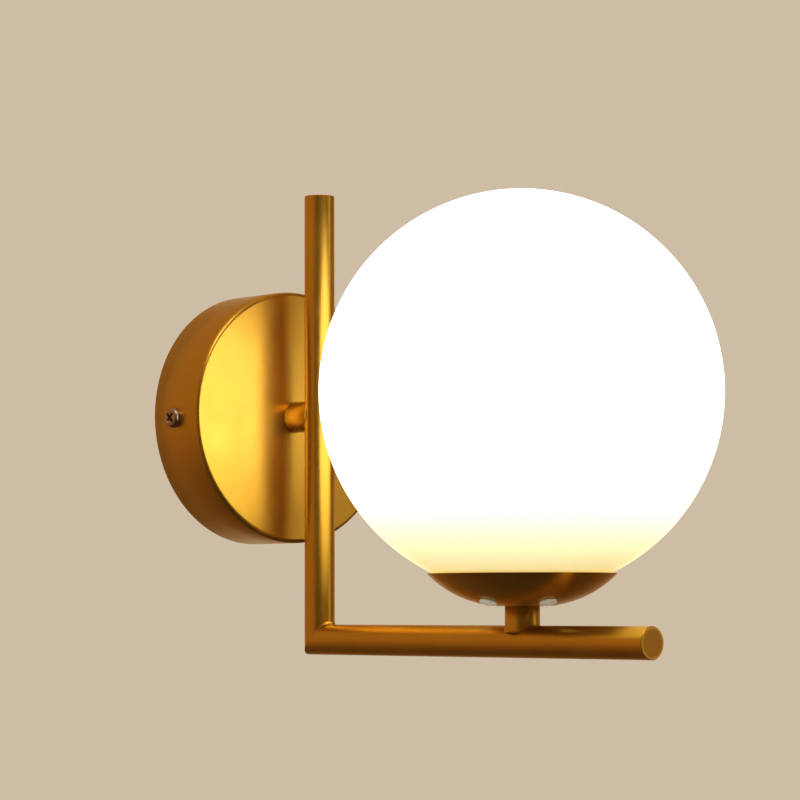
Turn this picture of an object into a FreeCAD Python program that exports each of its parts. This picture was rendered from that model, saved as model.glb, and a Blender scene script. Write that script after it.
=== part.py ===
# Globe wall sconce: a round canopy on the wall, an upright tube, a mitred arm, and an opal globe on a dish.
# Frame: millimetres, the wall is the plane Y = 0, the lamp stands out along -Y, and +Z is up.
# The origin is the centre of the canopy on the wall.
import FreeCAD, Part
import math
import os
import re

import Sketcher

V = FreeCAD.Vector

# Every size that can be set by itself: name, value in millimetres (or degrees or a count), what it is.
SIZES = (
    ("globe_radius", "75", "outside of the opal globe"),
    ("glass_wall", "2.5", "thickness of the glass"),
    ("mouth_radius", "26", "round mouth under the globe"),
    ("glass_lip", "0.9", "fire-polished edge of the mouth"),
    ("globe_reach", "155.8", "axis of the globe from the wall"),
    ("globe_height", "3.1", "centre of the globe above the canopy's centre"),
    ("glass_gap", "0.3", "room between the glass and what carries it"),
    ("canopy_radius", "50.75", "outside of the canopy"),
    ("canopy_depth", "27.5", "wall to the canopy's front face"),
    ("canopy_wall", "1.2", "sheet of the canopy"),
    ("canopy_edge", "1.8", "rounded front edge of the canopy"),
    ("side_screw_out", "12.8", "side screws from the wall"),
    ("side_screw_drop", "1.6", "side screws below the canopy's centre"),
    ("side_hole_radius", "2.3", "clearance hole for a side screw"),
    ("side_shank_radius", "2", "shank of a side screw"),
    ("side_shank_length", "8", "side screw under its head"),
    ("side_head_radius", "4", "head of a side screw"),
    ("side_head_height", "2.4", "head of a side screw"),
    ("strap_width", "22", "wall strap, top to bottom"),
    ("strap_sheet", "1.8", "sheet of the wall bracket"),
    ("strap_bend", "1.2", "inside radius of the bent ears"),
    ("ear_length", "18", "ears of the bracket from the wall"),
    ("ear_gap", "0.25", "ear to the canopy's side wall"),
    ("wall_slot_spacing", "60", "centres of the two wall slots"),
    ("wall_slot_length", "14", "end to end of a wall slot"),
    ("wall_slot_radius", "2.4", "half the width of a wall slot"),
    ("cable_hole_radius", "7", "hole for the supply cable"),
    ("lug_width", "28", "lug under the strap, for the terminal block"),
    ("lug_drop", "34", "foot of the lug below the canopy's centre"),
    ("tube_radius", "6", "outside of the frame's tubes"),
    ("tube_wall", "1", "wall of the frame's tubes"),
    ("tube_standoff", "14.5", "canopy face to the upright's axis"),
    ("tube_top", "88.3", "top of the upright above the canopy's centre"),
    ("arm_length", "220.2", "end of the arm from the wall"),
    ("plug_depth", "3", "end plugs, along the tube"),
    ("plug_edge", "0.25", "fine bevel round an end plug"),
    ("wire_hole_radius", "4", "holes for the leads in the tubes"),
    ("boss_radius", "6.2", "spacer behind the upright"),
    ("stem_radius", "6.5", "spacer under the dish"),
    ("stem_height", "7", "arm to the foot of the dish"),
    ("cope_share", "0.35", "how far a coped end wraps its tube, as a share of the tube's radius"),
    ("nipple_radius", "5", "outside of the hollow threaded nipples"),
    ("nipple_bore", "4", "bore of the nipples"),
    ("nipple_bite", "5.5", "nipple screwed into the spacer"),
    ("nipple_stub", "2.5", "nipple past its nut"),
    ("thread_play", "0.04", "clearance of a screwed joint, on the radius"),
    ("washer_radius", "8.5", "toothed washers"),
    ("washer_sheet", "0.8", "toothed washers"),
    ("nut_flats", "14", "across the flats of the nipple nuts"),
    ("nut_height", "3", "nipple nuts"),
    ("nut_bevel", "30", "slope of the bevel on a nut's corners"),
    ("tooth_count", "12", "gaps round a toothed washer"),
    ("tooth_depth", "1.5", "gaps in a toothed washer"),
    ("tooth_gap", "1.9", "gaps in a toothed washer"),
    ("dish_radius", "35.3", "rim of the dish"),
    ("dish_depth", "12.2", "rim to foot of the dish"),
    ("dish_flat", "6.5", "flat foot of the dish"),
    ("dish_wall", "1", "sheet of the dish"),
    ("ring_inset", "2.4", "seat ring inside the dish's rim"),
    ("ring_width", "3.2", "seat ring, inside to outside"),
    ("plate_sheet", "0.8", "spring plate that holds the glass"),
    ("claw_width", "9", "arms and claws of the spring plate"),
    ("hub_radius", "12", "middle of the spring plate"),
    ("claw_step", "3.65", "where the claws leave the dish, inside their uprights"),
    ("claw_height", "11", "claws above the dish, up to where they lean"),
    ("claw_tip", "5", "leaning tip of a claw"),
    ("claw_lean", "2.4", "how far the tip leans inwards"),
    ("sleeve_wall", "0.55", "soft sleeves on the claws"),
    ("sleeve_length", "6.5", "soft sleeves on the claws"),
    ("sleeve_drop", "0.5", "sleeves below the start of the claws' lean"),
    ("holder_turn", "50.8", "turn of the dish about its axis, from -Y towards -X"),
    ("screw_angle", "36", "each dish screw from the middle of its pair"),
    ("screw_circle", "18.5", "dish screws from the dish's axis"),
    ("dish_hole_radius", "1.7", "clearance hole for a dish screw"),
    ("dish_shank_radius", "1.5", "shank of a dish screw"),
    ("dish_shank_length", "5", "dish screw under its head"),
    ("dish_head_radius", "3.2", "head of a dish screw"),
    ("dish_head_height", "1.5", "head of a dish screw"),
    ("recess_width", "0.9", "arm of a cross recess"),
    ("holder_radius", "14", "outside of the lampholder"),
    ("holder_wall", "1.5", "wall of the lampholder"),
    ("holder_cap_height", "12", "lower part of the lampholder"),
    ("holder_sleeve_height", "27", "upper part of the lampholder"),
    ("holder_neck", "8.5", "foot of the lampholder"),
    ("holder_mouth", "9.2", "mouth of the lampholder"),
    ("insert_height", "8", "ceramic insert of the lampholder"),
    ("recess_radius", "4", "recess in the insert, for the contact"),
    ("recess_depth", "3", "recess in the insert, for the contact"),
    ("contact_height", "1.4", "centre contact of the lampholder"),
    ("contact_radius", "2.8", "centre contact of the lampholder"),
    ("shell_sheet", "0.4", "sheet of the lampholder's screw shell"),
    ("shell_height", "19", "lampholder's screw shell"),
    ("shell_flange", "1.5", "foot of the screw shell on the insert"),
    ("lamp_play", "0.35", "room round the lamp's screw cap"),
    ("lamp_cap_radius", "6.9", "screw cap of the lamp"),
    ("lamp_cap_height", "23.5", "screw cap of the lamp"),
    ("lamp_cap_taper", "1.2", "narrowed foot of the lamp's screw cap"),
    ("lamp_insulator_height", "1.9", "glass at the foot of the lamp"),
    ("lamp_tip_radius", "2.4", "centre contact of the lamp"),
    ("lamp_tip_height", "1.3", "centre contact of the lamp"),
    ("lamp_radius", "22.5", "dome of the lamp"),
    ("lamp_collar", "9.5", "foot of the lamp's housing"),
    ("lamp_housing_height", "22", "housing of the lamp"),
    ("lamp_flare", "60", "radius of the housing's flare"),
    ("lamp_rim", "20.8", "where the dome meets the housing"),
    ("lamp_wall", "1", "dome and housing of the lamp"),
    ("board_sheet", "1.2", "light-source board"),
    ("board_play", "0.4", "room round the board inside the dome's foot"),
    ("diode_size", "2.8", "square light sources on the board"),
    ("diode_height", "0.8", "light sources above the board"),
    ("diode_circle", "13", "light sources from the board's centre"),
    ("diode_count", "12", "light sources on the board"),
    ("block_width", "25", "terminal block"),
    ("block_height", "16", "terminal block, along its wires"),
    ("block_depth", "13", "terminal block, out from the bracket"),
    ("block_rise", "2", "terminal block above the lug's foot"),
    ("pole_pitch", "8", "poles of the terminal block"),
    ("tunnel_radius", "2.2", "brass tunnels of the block"),
    ("tunnel_bore", "1.5", "wire hole of a tunnel"),
    ("clamp_radius", "1.3", "clamp screws of the block"),
    ("clamp_circle", "4.5", "clamp screws from the middle of the block"),
    ("clamp_sink", "2", "clamp screws below the block's face"),
    ("clamp_play", "0.4", "room round a clamp screw in the block"),
    ("slot_width", "0.5", "driver slot of a clamp screw"),
    ("slot_depth", "0.6", "driver slot of a clamp screw"),
    ("earth_across", "15", "earth screw from the canopy's centre"),
    ("earth_drop", "6", "earth screw below the canopy's centre"),
    ("lead_radius", "0.9", "insulated leads"),
    ("lead_offset", "1.2", "each lead from the middle of its tube"),
    ("lead_lift", "2", "leads above the nipple's axis"),
    ("lead_grip", "5", "lead inside the terminal block"),
    ("lead_rise", "3", "lead straight out of the terminal block"),
    ("lead_bend", "5", "bends of the long leads, on their middle line"),
    ("lead_corner", "8", "bend of the long leads in the frame's corner"),
    ("earth_bend", "2", "bends of the earth lead"),
    ("tag_radius", "4", "ring of the earth tag"),
    ("tag_sheet", "0.8", "ring of the earth tag"),
    ("tag_barrel", "5", "barrel of the earth tag"),
    ("tag_wall", "0.4", "wall of the earth tag's barrel"),
    ("back_clearance", "0.3", "short screws stop this far from the wall"),
)

# Places that follow from the sizes above.
PLACES = (
    ("axis_out", "canopy_depth + tube_standoff"),
    ("canopy_inner", "canopy_radius - canopy_wall"),
    ("ear_out", "sqrt(canopy_inner^2 - (strap_width / 2)^2) - ear_gap"),
    ("dish_curve", "((dish_radius - dish_flat)^2 + dish_depth^2) / (2 * dish_depth)"),
    ("dish_inner", "dish_flat + sqrt((dish_curve - dish_wall)^2 - (dish_curve - dish_depth)^2)"),
    ("rim_z", "globe_height - sqrt((globe_radius + glass_gap)^2 - dish_inner^2)"),
    ("ring_outer", "dish_inner - ring_inset"),
    ("ring_inner", "ring_outer - ring_width"),
    ("foot_z", "rim_z - dish_depth"),
    ("arm_drop", "tube_radius + stem_height - foot_z"),
    ("curve_z", "foot_z + dish_curve"),
    ("floor_z", "foot_z + dish_wall"),
    ("plate_z", "floor_z + plate_sheet"),
    ("plate_curve", "dish_curve - dish_wall - plate_sheet"),
    ("washer_z", "curve_z - sqrt(plate_curve^2 - (max(washer_radius; dish_flat) - dish_flat)^2)"),
    ("nut_z", "washer_z + washer_sheet"),
    ("holder_z", "nut_z + nut_height"),
    ("sleeve_z", "holder_z + holder_cap_height"),
    ("mouth_z", "sleeve_z + holder_sleeve_height"),
    ("insert_z", "sleeve_z - insert_height / 2"),
    ("contact_z", "insert_z + insert_height - recess_depth + contact_height"),
    ("lamp_z", "contact_z + lamp_play"),
    ("cap_z", "lamp_z + lamp_tip_height + lamp_insulator_height"),
    ("housing_z", "cap_z + lamp_cap_height"),
    ("dome_z", "housing_z + lamp_housing_height"),
    ("dome_rise", "sqrt(lamp_radius^2 - lamp_rim^2)"),
    ("dome_inner", "sqrt((lamp_radius - lamp_wall)^2 - dome_rise^2)"),
    ("shell_inner", "lamp_cap_radius + lamp_play"),
    ("claw_out", "mouth_radius - glass_gap - sleeve_wall"),
    ("claw_bend", "claw_out - claw_step"),
    ("claw_z", "curve_z - sqrt((dish_curve - dish_wall)^2 - (claw_bend - dish_flat)^2)"),
    ("claw_top", "claw_z + claw_height"),
    ("block_low", "block_rise - lug_drop"),
    ("block_top", "block_low + block_height"),
    ("block_middle", "block_low + block_height / 2"),
    ("block_face", "strap_sheet + block_depth"),
    ("pole_out", "strap_sheet + block_depth / 2"),
)
NAMES = [name for name, _, _ in SIZES] + [name for name, _ in PLACES]
ALIAS = re.compile(r"\b(" + "|".join(sorted(NAMES, key=len, reverse=True)) + r")\b")

# A cut of this length goes right through any piece.
THROUGH = "4 * (canopy_radius + arm_length)"

# A rounded slot end is this much more than a half circle's radius, which keeps its centre on one side.
HAIR = "0.0001"

# A screw's head and point, as shares of its own height and radii.
HEAD_SIDE = 0.45
RECESS_REACH = 1.15
RECESS_DEPTH = 0.5
POINT_LENGTH = 0.5
POINT_RADIUS = 0.55

doc = FreeCAD.newDocument("globe_wall_sconce")
sheet = doc.addObject("Spreadsheet::Sheet", "size")
nodes = []


def fill_sheet():
    """Write the sizes and the places that follow from them."""
    row = 1
    for name, number, note in SIZES:
        sheet.set("A%d" % row, note)
        sheet.set("B%d" % row, number)
        sheet.setAlias("B%d" % row, name)
        row += 1
    doc.recompute()
    for name, formula in PLACES:
        sheet.set("B%d" % row, "=" + formula)
        sheet.setAlias("B%d" % row, name)
        doc.recompute()
        row += 1


def formula(text):
    """A formula of size names, as the document's expressions read it."""
    return ALIAS.sub(r"size.\1", text)


def value(text):
    """The number that a formula of size names gives now."""
    number = sheet.evalExpression(formula(text))
    return float(getattr(number, "Value", number))


def bind(item, prop, text):
    """Tie a property to a formula of size names."""
    item.setExpression(prop, formula(text))


def new_body(name):
    """An empty body whose label is the node's name."""
    body = doc.addObject("PartDesign::Body", name)
    body.Label = name
    nodes.append(body)
    return body


def own_plane(body, role):
    """One of the body's own origin planes or axes."""
    return [part for part in body.Origin.OriginFeatures if part.Role == role][0]


def new_sketch(body, role, name):
    """A sketch on one of the body's own origin planes."""
    sketch = body.newObject("Sketcher::SketchObject", name)
    sketch.AttachmentSupport = [(own_plane(body, role), "")]
    sketch.MapMode = "FlatFace"
    return sketch


def hold(sketch, kind, args, text):
    """Add a dimension to a sketch and tie it to a formula."""
    index = sketch.addConstraint(Sketcher.Constraint(kind, *args, value(text)))
    label = "d%d" % index
    sketch.renameConstraint(index, label)
    bind(sketch, "Constraints." + label, text)


def arc_between(first, last, radius):
    """The short arc between two points, anticlockwise from first to last."""
    chord = last - first
    across = V(-chord.y, chord.x, 0).normalize()
    rise = math.sqrt(max(radius * radius - chord.Length ** 2 / 4, 0.0))
    bulge = (first + last) * 0.5 - across * (radius - rise)
    return Part.Arc(first, bulge, last)


def draw(sketch, corners):
    """Draw a closed outline.

    A corner is (x, y) in formulas. In (x, y, radius) an arc leads to the corner: anticlockwise with a
    positive radius, clockwise with a negative one.
    """
    points = [V(value(corner[0]), value(corner[1]), 0) for corner in corners]
    edges = []
    ends = []
    for index, corner in enumerate(corners):
        first = points[index - 1]
        last = points[index]
        radius = value(corner[2]) if len(corner) == 3 else 0
        if radius > 0:
            curve = arc_between(first, last, radius)
        elif radius < 0:
            curve = arc_between(last, first, -radius)
        else:
            curve = Part.LineSegment(first, last)
        edges.append(sketch.addGeometry(curve, False))
        ends.append((2, 1) if radius < 0 else (1, 2))
    for index, edge in enumerate(edges):
        after = (index + 1) % len(edges)
        joint = Sketcher.Constraint("Coincident", edge, ends[index][1], edges[after], ends[after][0])
        sketch.addConstraint(joint)
    for index, corner in enumerate(corners):
        place = (-1, 1, edges[index], ends[index][1])
        hold(sketch, "DistanceX", place, corner[0])
        hold(sketch, "DistanceY", place, corner[1])
        if len(corner) == 3:
            hold(sketch, "Radius", (edges[index],), "abs(%s)" % corner[2])


def draw_circle(sketch, across, up, radius):
    """A circle whose centre and radius are formulas."""
    centre = V(value(across), value(up), 0)
    edge = sketch.addGeometry(Part.Circle(centre, V(0, 0, 1), value(radius)), False)
    hold(sketch, "DistanceX", (-1, 1, edge, 3), across)
    hold(sketch, "DistanceY", (-1, 1, edge, 3), up)
    hold(sketch, "Radius", (edge,), radius)


def draw_box(sketch, left, right, low, high):
    """A rectangle between four formulas."""
    draw(sketch, ((left, low), (right, low), (right, high), (left, high)))


def turn(body, corners, name):
    """Revolve an outline of radius and height about the body's own Z axis."""
    sketch = new_sketch(body, "XZ_Plane", name + "_outline")
    draw(sketch, corners)
    feature = body.newObject("PartDesign::Revolution", name)
    feature.Profile = sketch
    feature.ReferenceAxis = (sketch, ["V_Axis"])
    feature.Angle = 360
    body.Tip = feature
    return feature


def pad(body, sketch, length, name, side="One side", back=False):
    """Pad a sketch by a formula."""
    feature = body.newObject("PartDesign::Pad", name)
    feature.Profile = sketch
    feature.SideType = side
    feature.Reversed = back
    bind(feature, "Length", length)
    body.Tip = feature
    return feature


def pocket(body, sketch, length, name, side="One side", back=False):
    """Cut a sketch into the body, by a formula or right through, and make sure that it cut."""
    doc.recompute()
    before = body.Shape.Volume
    feature = body.newObject("PartDesign::Pocket", name)
    feature.Profile = sketch
    feature.SideType = side
    feature.Reversed = back
    if length is None:
        feature.Type = "ThroughAll"
    else:
        bind(feature, "Length", length)
    body.Tip = feature
    doc.recompute()
    if body.Shape.Volume > before - 1e-3:
        raise RuntimeError("%s cuts nothing" % feature.Label)
    return feature


def ring_edge(feature, radius, height):
    """The name of the round edge of this radius about Z at this height."""
    for index, edge in enumerate(feature.Shape.Edges):
        curve = edge.Curve
        if not isinstance(curve, Part.Circle):
            continue
        on_axis = math.hypot(curve.Center.x, curve.Center.y) < 1e-4
        if on_axis and abs(curve.Radius - radius) < 1e-4 and abs(curve.Center.z - height) < 1e-4:
            return "Edge%d" % (index + 1)
    raise RuntimeError("no round edge on " + feature.Label)


def edge_treatment(body, kind, edges, size, name):
    """A fillet or chamfer on edges of the body's tip."""
    base = body.Tip
    feature = body.newObject("PartDesign::" + kind, name)
    feature.Base = (base, edges)
    bind(feature, "Radius" if kind == "Fillet" else "Size", size)
    body.Tip = feature
    return feature


def stand_out(body):
    """Lay a body so that its own Z axis points straight out of the wall."""
    body.Placement = FreeCAD.Placement(V(0, 0, 0), FreeCAD.Rotation(V(1, 0, 0), 90))


def on_globe_axis(body):
    """Stand a body on the globe's axis."""
    bind(body, "Placement.Base.y", "-globe_reach")


def raised_sketch(body, role, name, height):
    """A sketch that is moved along its plane's normal by a formula."""
    sketch = new_sketch(body, role, name)
    sketch.AttachmentOffset = FreeCAD.Placement(V(0, 0, value(height)), FreeCAD.Rotation())
    bind(sketch, "AttachmentOffset.Base.z", height)
    return sketch


def shifted(across, out, up):
    """A placement that only moves."""
    return FreeCAD.Placement(V(across, out, up), FreeCAD.Rotation())


def turned_about_z(angle):
    """A placement that only turns about the Z axis."""
    return FreeCAD.Placement(V(0, 0, 0), FreeCAD.Rotation(V(0, 0, 1), angle))


def solid_node(name, shape, place=None):
    """A node whose shape is worked out from the sheet."""
    part = doc.addObject("Part::Feature", name)
    part.Label = name
    part.Shape = shape
    if place is not None:
        part.Placement = place
    nodes.append(part)
    return part


def cylinder(radius, low, high):
    """A plain round bar about Z between two heights."""
    return Part.makeCylinder(radius, high - low, V(0, 0, low))


def box_between(low, high):
    """A block between two corners."""
    return Part.makeBox(high.x - low.x, high.y - low.y, high.z - low.z, low)


def cross_recess(reach, width, depth, top):
    """The cross-shaped driver recess in a screw's head."""
    arms = []
    for long_side, short_side in ((reach, width), (width, reach)):
        low = V(-long_side / 2, -short_side / 2, top - depth)
        arms.append(box_between(low, V(long_side / 2, short_side / 2, top + depth)))
    return arms[0].fuse(arms[1])


def pan_screw(shank_radius, shank_length, head_radius, head_height):
    """A pan-head screw: its head stands on Z = 0 and its shank goes down."""
    side = head_height * HEAD_SIDE
    crown = head_height - side
    crown_radius = (head_radius ** 2 + crown ** 2) / (2 * crown)
    half = head_radius / 2
    points = (V(0, 0, 0), V(head_radius, 0, 0), V(head_radius, 0, side), V(0, 0, head_height))
    bulge = V(half, 0, head_height - crown_radius + math.sqrt(crown_radius ** 2 - half ** 2))
    curves = (Part.LineSegment(points[0], points[1]), Part.LineSegment(points[1], points[2]),
              Part.Arc(points[2], bulge, points[3]), Part.LineSegment(points[3], points[0]))
    outline = Part.Wire([curve.toShape() for curve in curves])
    head = Part.Face(outline).revolve(V(0, 0, 0), V(0, 0, 1), 360)
    recess = cross_recess(head_radius * RECESS_REACH, value("recess_width"), head_height * RECESS_DEPTH,
                          head_height)
    point_height = shank_radius * POINT_LENGTH
    shank = cylinder(shank_radius, point_height - shank_length, 0)
    point = Part.makeCone(shank_radius * POINT_RADIUS, shank_radius, point_height, V(0, 0, -shank_length))
    return head.cut(recess).fuse([shank, point]).removeSplitter()


def pointing(place, direction):
    """The placement that stands a piece's own Z axis at a place, along a direction."""
    return FreeCAD.Placement(place, FreeCAD.Rotation(V(0, 0, 1), direction))


def group_node(name, shape, places):
    """One node that holds equal solids, each at its own place."""
    copies = []
    for place in places:
        copy = shape.copy()
        copy.Placement = place.multiply(shape.Placement)
        copies.append(copy)
    return solid_node(name, Part.makeCompound(copies))


# ---------------------------------------------------------------- wall bracket and canopy


def make_wall_bracket():
    """A flat steel strap with bent ears, wall slots, a cable hole and a lug for the terminal block."""
    body = new_body("wall_bracket")
    stand_out(body)
    outline = new_sketch(body, "XZ_Plane", "strap_outline")
    bend = "strap_sheet + strap_bend"
    draw(outline, (
        ("-ear_out", "ear_length"), ("-ear_out", bend), ("-ear_out + " + bend, "0", bend),
        ("ear_out - (%s)" % bend, "0"), ("ear_out", bend, bend), ("ear_out", "ear_length"),
        ("ear_out - strap_sheet", "ear_length"), ("ear_out - strap_sheet", bend),
        ("ear_out - (%s)" % bend, "strap_sheet", "-strap_bend"), ("-ear_out + " + bend, "strap_sheet"),
        ("-ear_out + strap_sheet", bend, "-strap_bend"), ("-ear_out + strap_sheet", "ear_length"),
    ))
    pad(body, outline, "strap_width", "strap", "Symmetric")
    lug = new_sketch(body, "XY_Plane", "lug_outline")
    draw_box(lug, "-lug_width / 2", "lug_width / 2", "-lug_drop", "0")
    pad(body, lug, "strap_sheet", "lug")
    holes = new_sketch(body, "XY_Plane", "strap_holes")
    draw_circle(holes, "0", "0", "cable_hole_radius")
    reach = "(wall_slot_length / 2 - wall_slot_radius)"
    for side in ("-", ""):
        near = "%swall_slot_spacing / 2 - %s" % (side, reach)
        far = "%swall_slot_spacing / 2 + %s" % (side, reach)
        draw(holes, (
            (far, "wall_slot_radius", "wall_slot_radius + " + HAIR), (near, "wall_slot_radius"),
            (near, "-wall_slot_radius", "wall_slot_radius + " + HAIR), (far, "-wall_slot_radius"),
        ))
    draw_circle(holes, "earth_across", "-earth_drop", "side_shank_radius + thread_play")
    draw_circle(holes, "pole_pitch / 2", "block_middle", "dish_shank_radius + thread_play")
    pocket(body, holes, None, "strap_cuts", back=True)
    ears = new_sketch(body, "YZ_Plane", "ear_holes")
    draw_circle(ears, "-side_screw_drop", "side_screw_out", "side_shank_radius + thread_play")
    pocket(body, ears, "2 * canopy_radius", "ear_cuts", "Symmetric")


def make_canopy():
    """The spun cup on the wall, with its rounded front edge and two side holes."""
    body = new_body("canopy")
    stand_out(body)
    face_in = "canopy_depth - canopy_wall"
    turn(body, (
        ("canopy_inner", "0"), ("canopy_radius", "0"), ("canopy_radius", "canopy_depth - canopy_edge"),
        ("canopy_radius - canopy_edge", "canopy_depth", "canopy_edge"),
        ("nipple_radius + thread_play", "canopy_depth"), ("nipple_radius + thread_play", face_in),
        ("canopy_radius - canopy_edge", face_in),
        ("canopy_inner", "canopy_depth - canopy_edge", "canopy_wall - canopy_edge"),
    ), "cup")
    holes = new_sketch(body, "YZ_Plane", "side_holes")
    draw_circle(holes, "-side_screw_drop", "side_screw_out", "side_hole_radius")
    pocket(body, holes, THROUGH, "side_cuts", "Symmetric")


def make_canopy_screws():
    """The two pan-head screws that hold the canopy to the bracket's ears."""
    screw = pan_screw(value("side_shank_radius"), value("side_shank_length"),
                      value("side_head_radius"), value("side_head_height"))
    places = []
    for side in (-1, 1):
        spot = V(side * value("canopy_radius"), -value("side_screw_out"), -value("side_screw_drop"))
        places.append(pointing(spot, V(side, 0, 0)))
    group_node("canopy_screws", screw, places)


def make_nipple(name, low, high):
    """A hollow threaded nipple between two heights."""
    body = new_body(name)
    outline = (("nipple_bore", low), ("nipple_radius", low), ("nipple_radius", high), ("nipple_bore", high))
    turn(body, outline, "tube")
    doc.recompute()
    rims = [ring_edge(body.Tip, value("nipple_radius"), value(height)) for height in (low, high)]
    edge_treatment(body, "Chamfer", rims, "(nipple_radius - nipple_bore) / 2", "lead_in")
    return body


def make_washer(name, low):
    """A washer with teeth round its rim."""
    body = new_body(name)
    outline = raised_sketch(body, "XY_Plane", "rim", low)
    draw_circle(outline, "0", "0", "washer_radius")
    draw_circle(outline, "0", "0", "nipple_radius + 2 * thread_play")
    pad(body, outline, "washer_sheet", "disc")
    notch = raised_sketch(body, "XY_Plane", "notch", low)
    draw_box(notch, "washer_radius - tooth_depth", "washer_radius + tooth_depth", "-tooth_gap / 2",
             "tooth_gap / 2")
    cut = pocket(body, notch, "washer_sheet", "gap", back=True)
    teeth = body.newObject("PartDesign::PolarPattern", "teeth")
    teeth.Originals = [cut]
    teeth.Axis = (notch, ["N_Axis"])
    teeth.Angle = 360
    bind(teeth, "Occurrences", "tooth_count")
    body.Tip = teeth
    return body


def make_nut(name, low):
    """A thin hexagon nut with bevelled corners."""
    body = new_body(name)
    outline = raised_sketch(body, "XY_Plane", "hexagon", low)
    corner = "nut_flats / sqrt(3) * %s(%d deg)"
    draw(outline, [(corner % ("cos", angle), corner % ("sin", angle)) for angle in range(0, 360, 60)])
    pad(body, outline, "nut_height", "hexagon_bar")
    bore = new_sketch(body, "XY_Plane", "bore")
    draw_circle(bore, "0", "0", "nipple_radius + thread_play")
    pocket(body, bore, THROUGH, "thread", "Symmetric")
    bevel = new_sketch(body, "XZ_Plane", "corner_bevel")
    top = low + " + nut_height"
    draw(bevel, (
        ("nut_flats / 2", top), ("nut_flats", top),
        ("nut_flats", top + " - nut_flats / 2 * tan(nut_bevel * 1 deg)"),
    ))
    groove = body.newObject("PartDesign::Groove", "corners")
    groove.Profile = bevel
    groove.ReferenceAxis = (bevel, ["V_Axis"])
    groove.Angle = 360
    body.Tip = groove
    return body


def make_boss():
    """The short spacer between the canopy and the upright, coped to the tube."""
    body = new_body("boss")
    stand_out(body)
    wrap = "axis_out - tube_radius * cope_share"
    turn(body, (
        ("nipple_radius", "canopy_depth"), ("boss_radius", "canopy_depth"), ("boss_radius", wrap),
        ("wire_hole_radius", wrap), ("wire_hole_radius", "canopy_depth + nipple_bite"),
        ("nipple_radius", "canopy_depth + nipple_bite"),
    ), "spacer")
    saddle = new_sketch(body, "XZ_Plane", "saddle")
    draw_circle(saddle, "0", "axis_out", "tube_radius")
    pocket(body, saddle, THROUGH, "cope", "Symmetric")


def make_canopy_fixings():
    """The nipple, washer and nut that clamp the boss to the canopy's face."""
    inside = "canopy_depth - canopy_wall - washer_sheet - nut_height"
    nipple = make_nipple("canopy_nipple", inside + " - nipple_stub", "canopy_depth + nipple_bite")
    washer = make_washer("canopy_washer", "canopy_depth - canopy_wall - washer_sheet")
    nut = make_nut("canopy_nut", inside)
    for body in (nipple, washer, nut):
        stand_out(body)


# ---------------------------------------------------------------- frame of tubes


def mitred_tube(body, length, side):
    """A tube along the body's own Z whose foot is cut at 45 degrees through the origin.

    side is the sign of Y at which more is cut away.
    """
    outline = raised_sketch(body, "XY_Plane", "tube_outline", "-tube_radius")
    draw_circle(outline, "0", "0", "tube_radius")
    draw_circle(outline, "0", "0", "tube_radius - tube_wall")
    pad(body, outline, length + " + tube_radius", "tube")
    wedge = new_sketch(body, "YZ_Plane", "mitre_wedge")
    near = "%d * tube_radius" % (-2 * side)
    far = "%d * tube_radius" % (2 * side)
    draw(wedge, ((near, "-2 * tube_radius"), (far, "2 * tube_radius"), (far, "-4 * tube_radius"),
                 (near, "-4 * tube_radius")))
    pocket(body, wedge, THROUGH, "mitre_cut", "Symmetric")


def lead_hole(body, along):
    """A hole through the tube's wall on its +Y side."""
    hole = new_sketch(body, "XZ_Plane", "lead_hole")
    draw_circle(hole, "0", along, "wire_hole_radius")
    pocket(body, hole, "2 * tube_radius", "lead_cut")


def make_upright():
    """The upright tube: its foot is mitred and its back has a hole for the leads."""
    body = new_body("upright_tube")
    bind(body, "Placement.Base.y", "-axis_out")
    bind(body, "Placement.Base.z", "-arm_drop")
    mitred_tube(body, "tube_top + arm_drop", -1)
    lead_hole(body, "arm_drop")


def make_arm():
    """The arm tube: its near end is mitred and its top has a hole for the leads."""
    body = new_body("arm_tube")
    stand_out(body)
    bind(body, "Placement.Base.y", "-axis_out")
    bind(body, "Placement.Base.z", "-arm_drop")
    mitred_tube(body, "arm_length - axis_out", 1)
    lead_hole(body, "globe_reach - axis_out")


def make_plug(name):
    """A turned plug, flush in a tube's end, with a fine bevel that leaves a line round it."""
    body = new_body(name)
    inner = "tube_radius - tube_wall"
    turn(body, (
        ("0", "-plug_depth"), (inner, "-plug_depth"), (inner, "-plug_edge"), (inner + " - plug_edge", "0"),
        ("0", "0"),
    ), "plug")
    return body


def make_plugs():
    """The plugs that close the top of the upright and the far end of the arm."""
    top = make_plug("top_plug")
    bind(top, "Placement.Base.y", "-axis_out")
    bind(top, "Placement.Base.z", "tube_top")
    end = make_plug("end_plug")
    stand_out(end)
    bind(end, "Placement.Base.y", "-arm_length")
    bind(end, "Placement.Base.z", "-arm_drop")


def make_stem():
    """The short spacer between the arm and the dish, coped to the arm."""
    body = new_body("stem")
    on_globe_axis(body)
    wrap = "tube_radius * cope_share - arm_drop"
    turn(body, (
        ("nipple_radius", "foot_z"), ("stem_radius", "foot_z"), ("stem_radius", wrap),
        ("wire_hole_radius", wrap), ("wire_hole_radius", "foot_z - nipple_bite"),
        ("nipple_radius", "foot_z - nipple_bite"),
    ), "spacer")
    saddle = new_sketch(body, "XZ_Plane", "saddle")
    draw_circle(saddle, "0", "-arm_drop", "tube_radius")
    pocket(body, saddle, THROUGH, "cope", "Symmetric")


def make_stem_fixings():
    """The nipple, washer and nut that clamp the dish and the spring plate to the stem."""
    nipple = make_nipple("stem_nipple", "foot_z - nipple_bite", "holder_z + nipple_stub")
    washer = make_washer("stem_washer", "washer_z")
    nut = make_nut("stem_nut", "nut_z")
    for body in (nipple, washer, nut):
        on_globe_axis(body)


# ---------------------------------------------------------------- dish and glass


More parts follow.
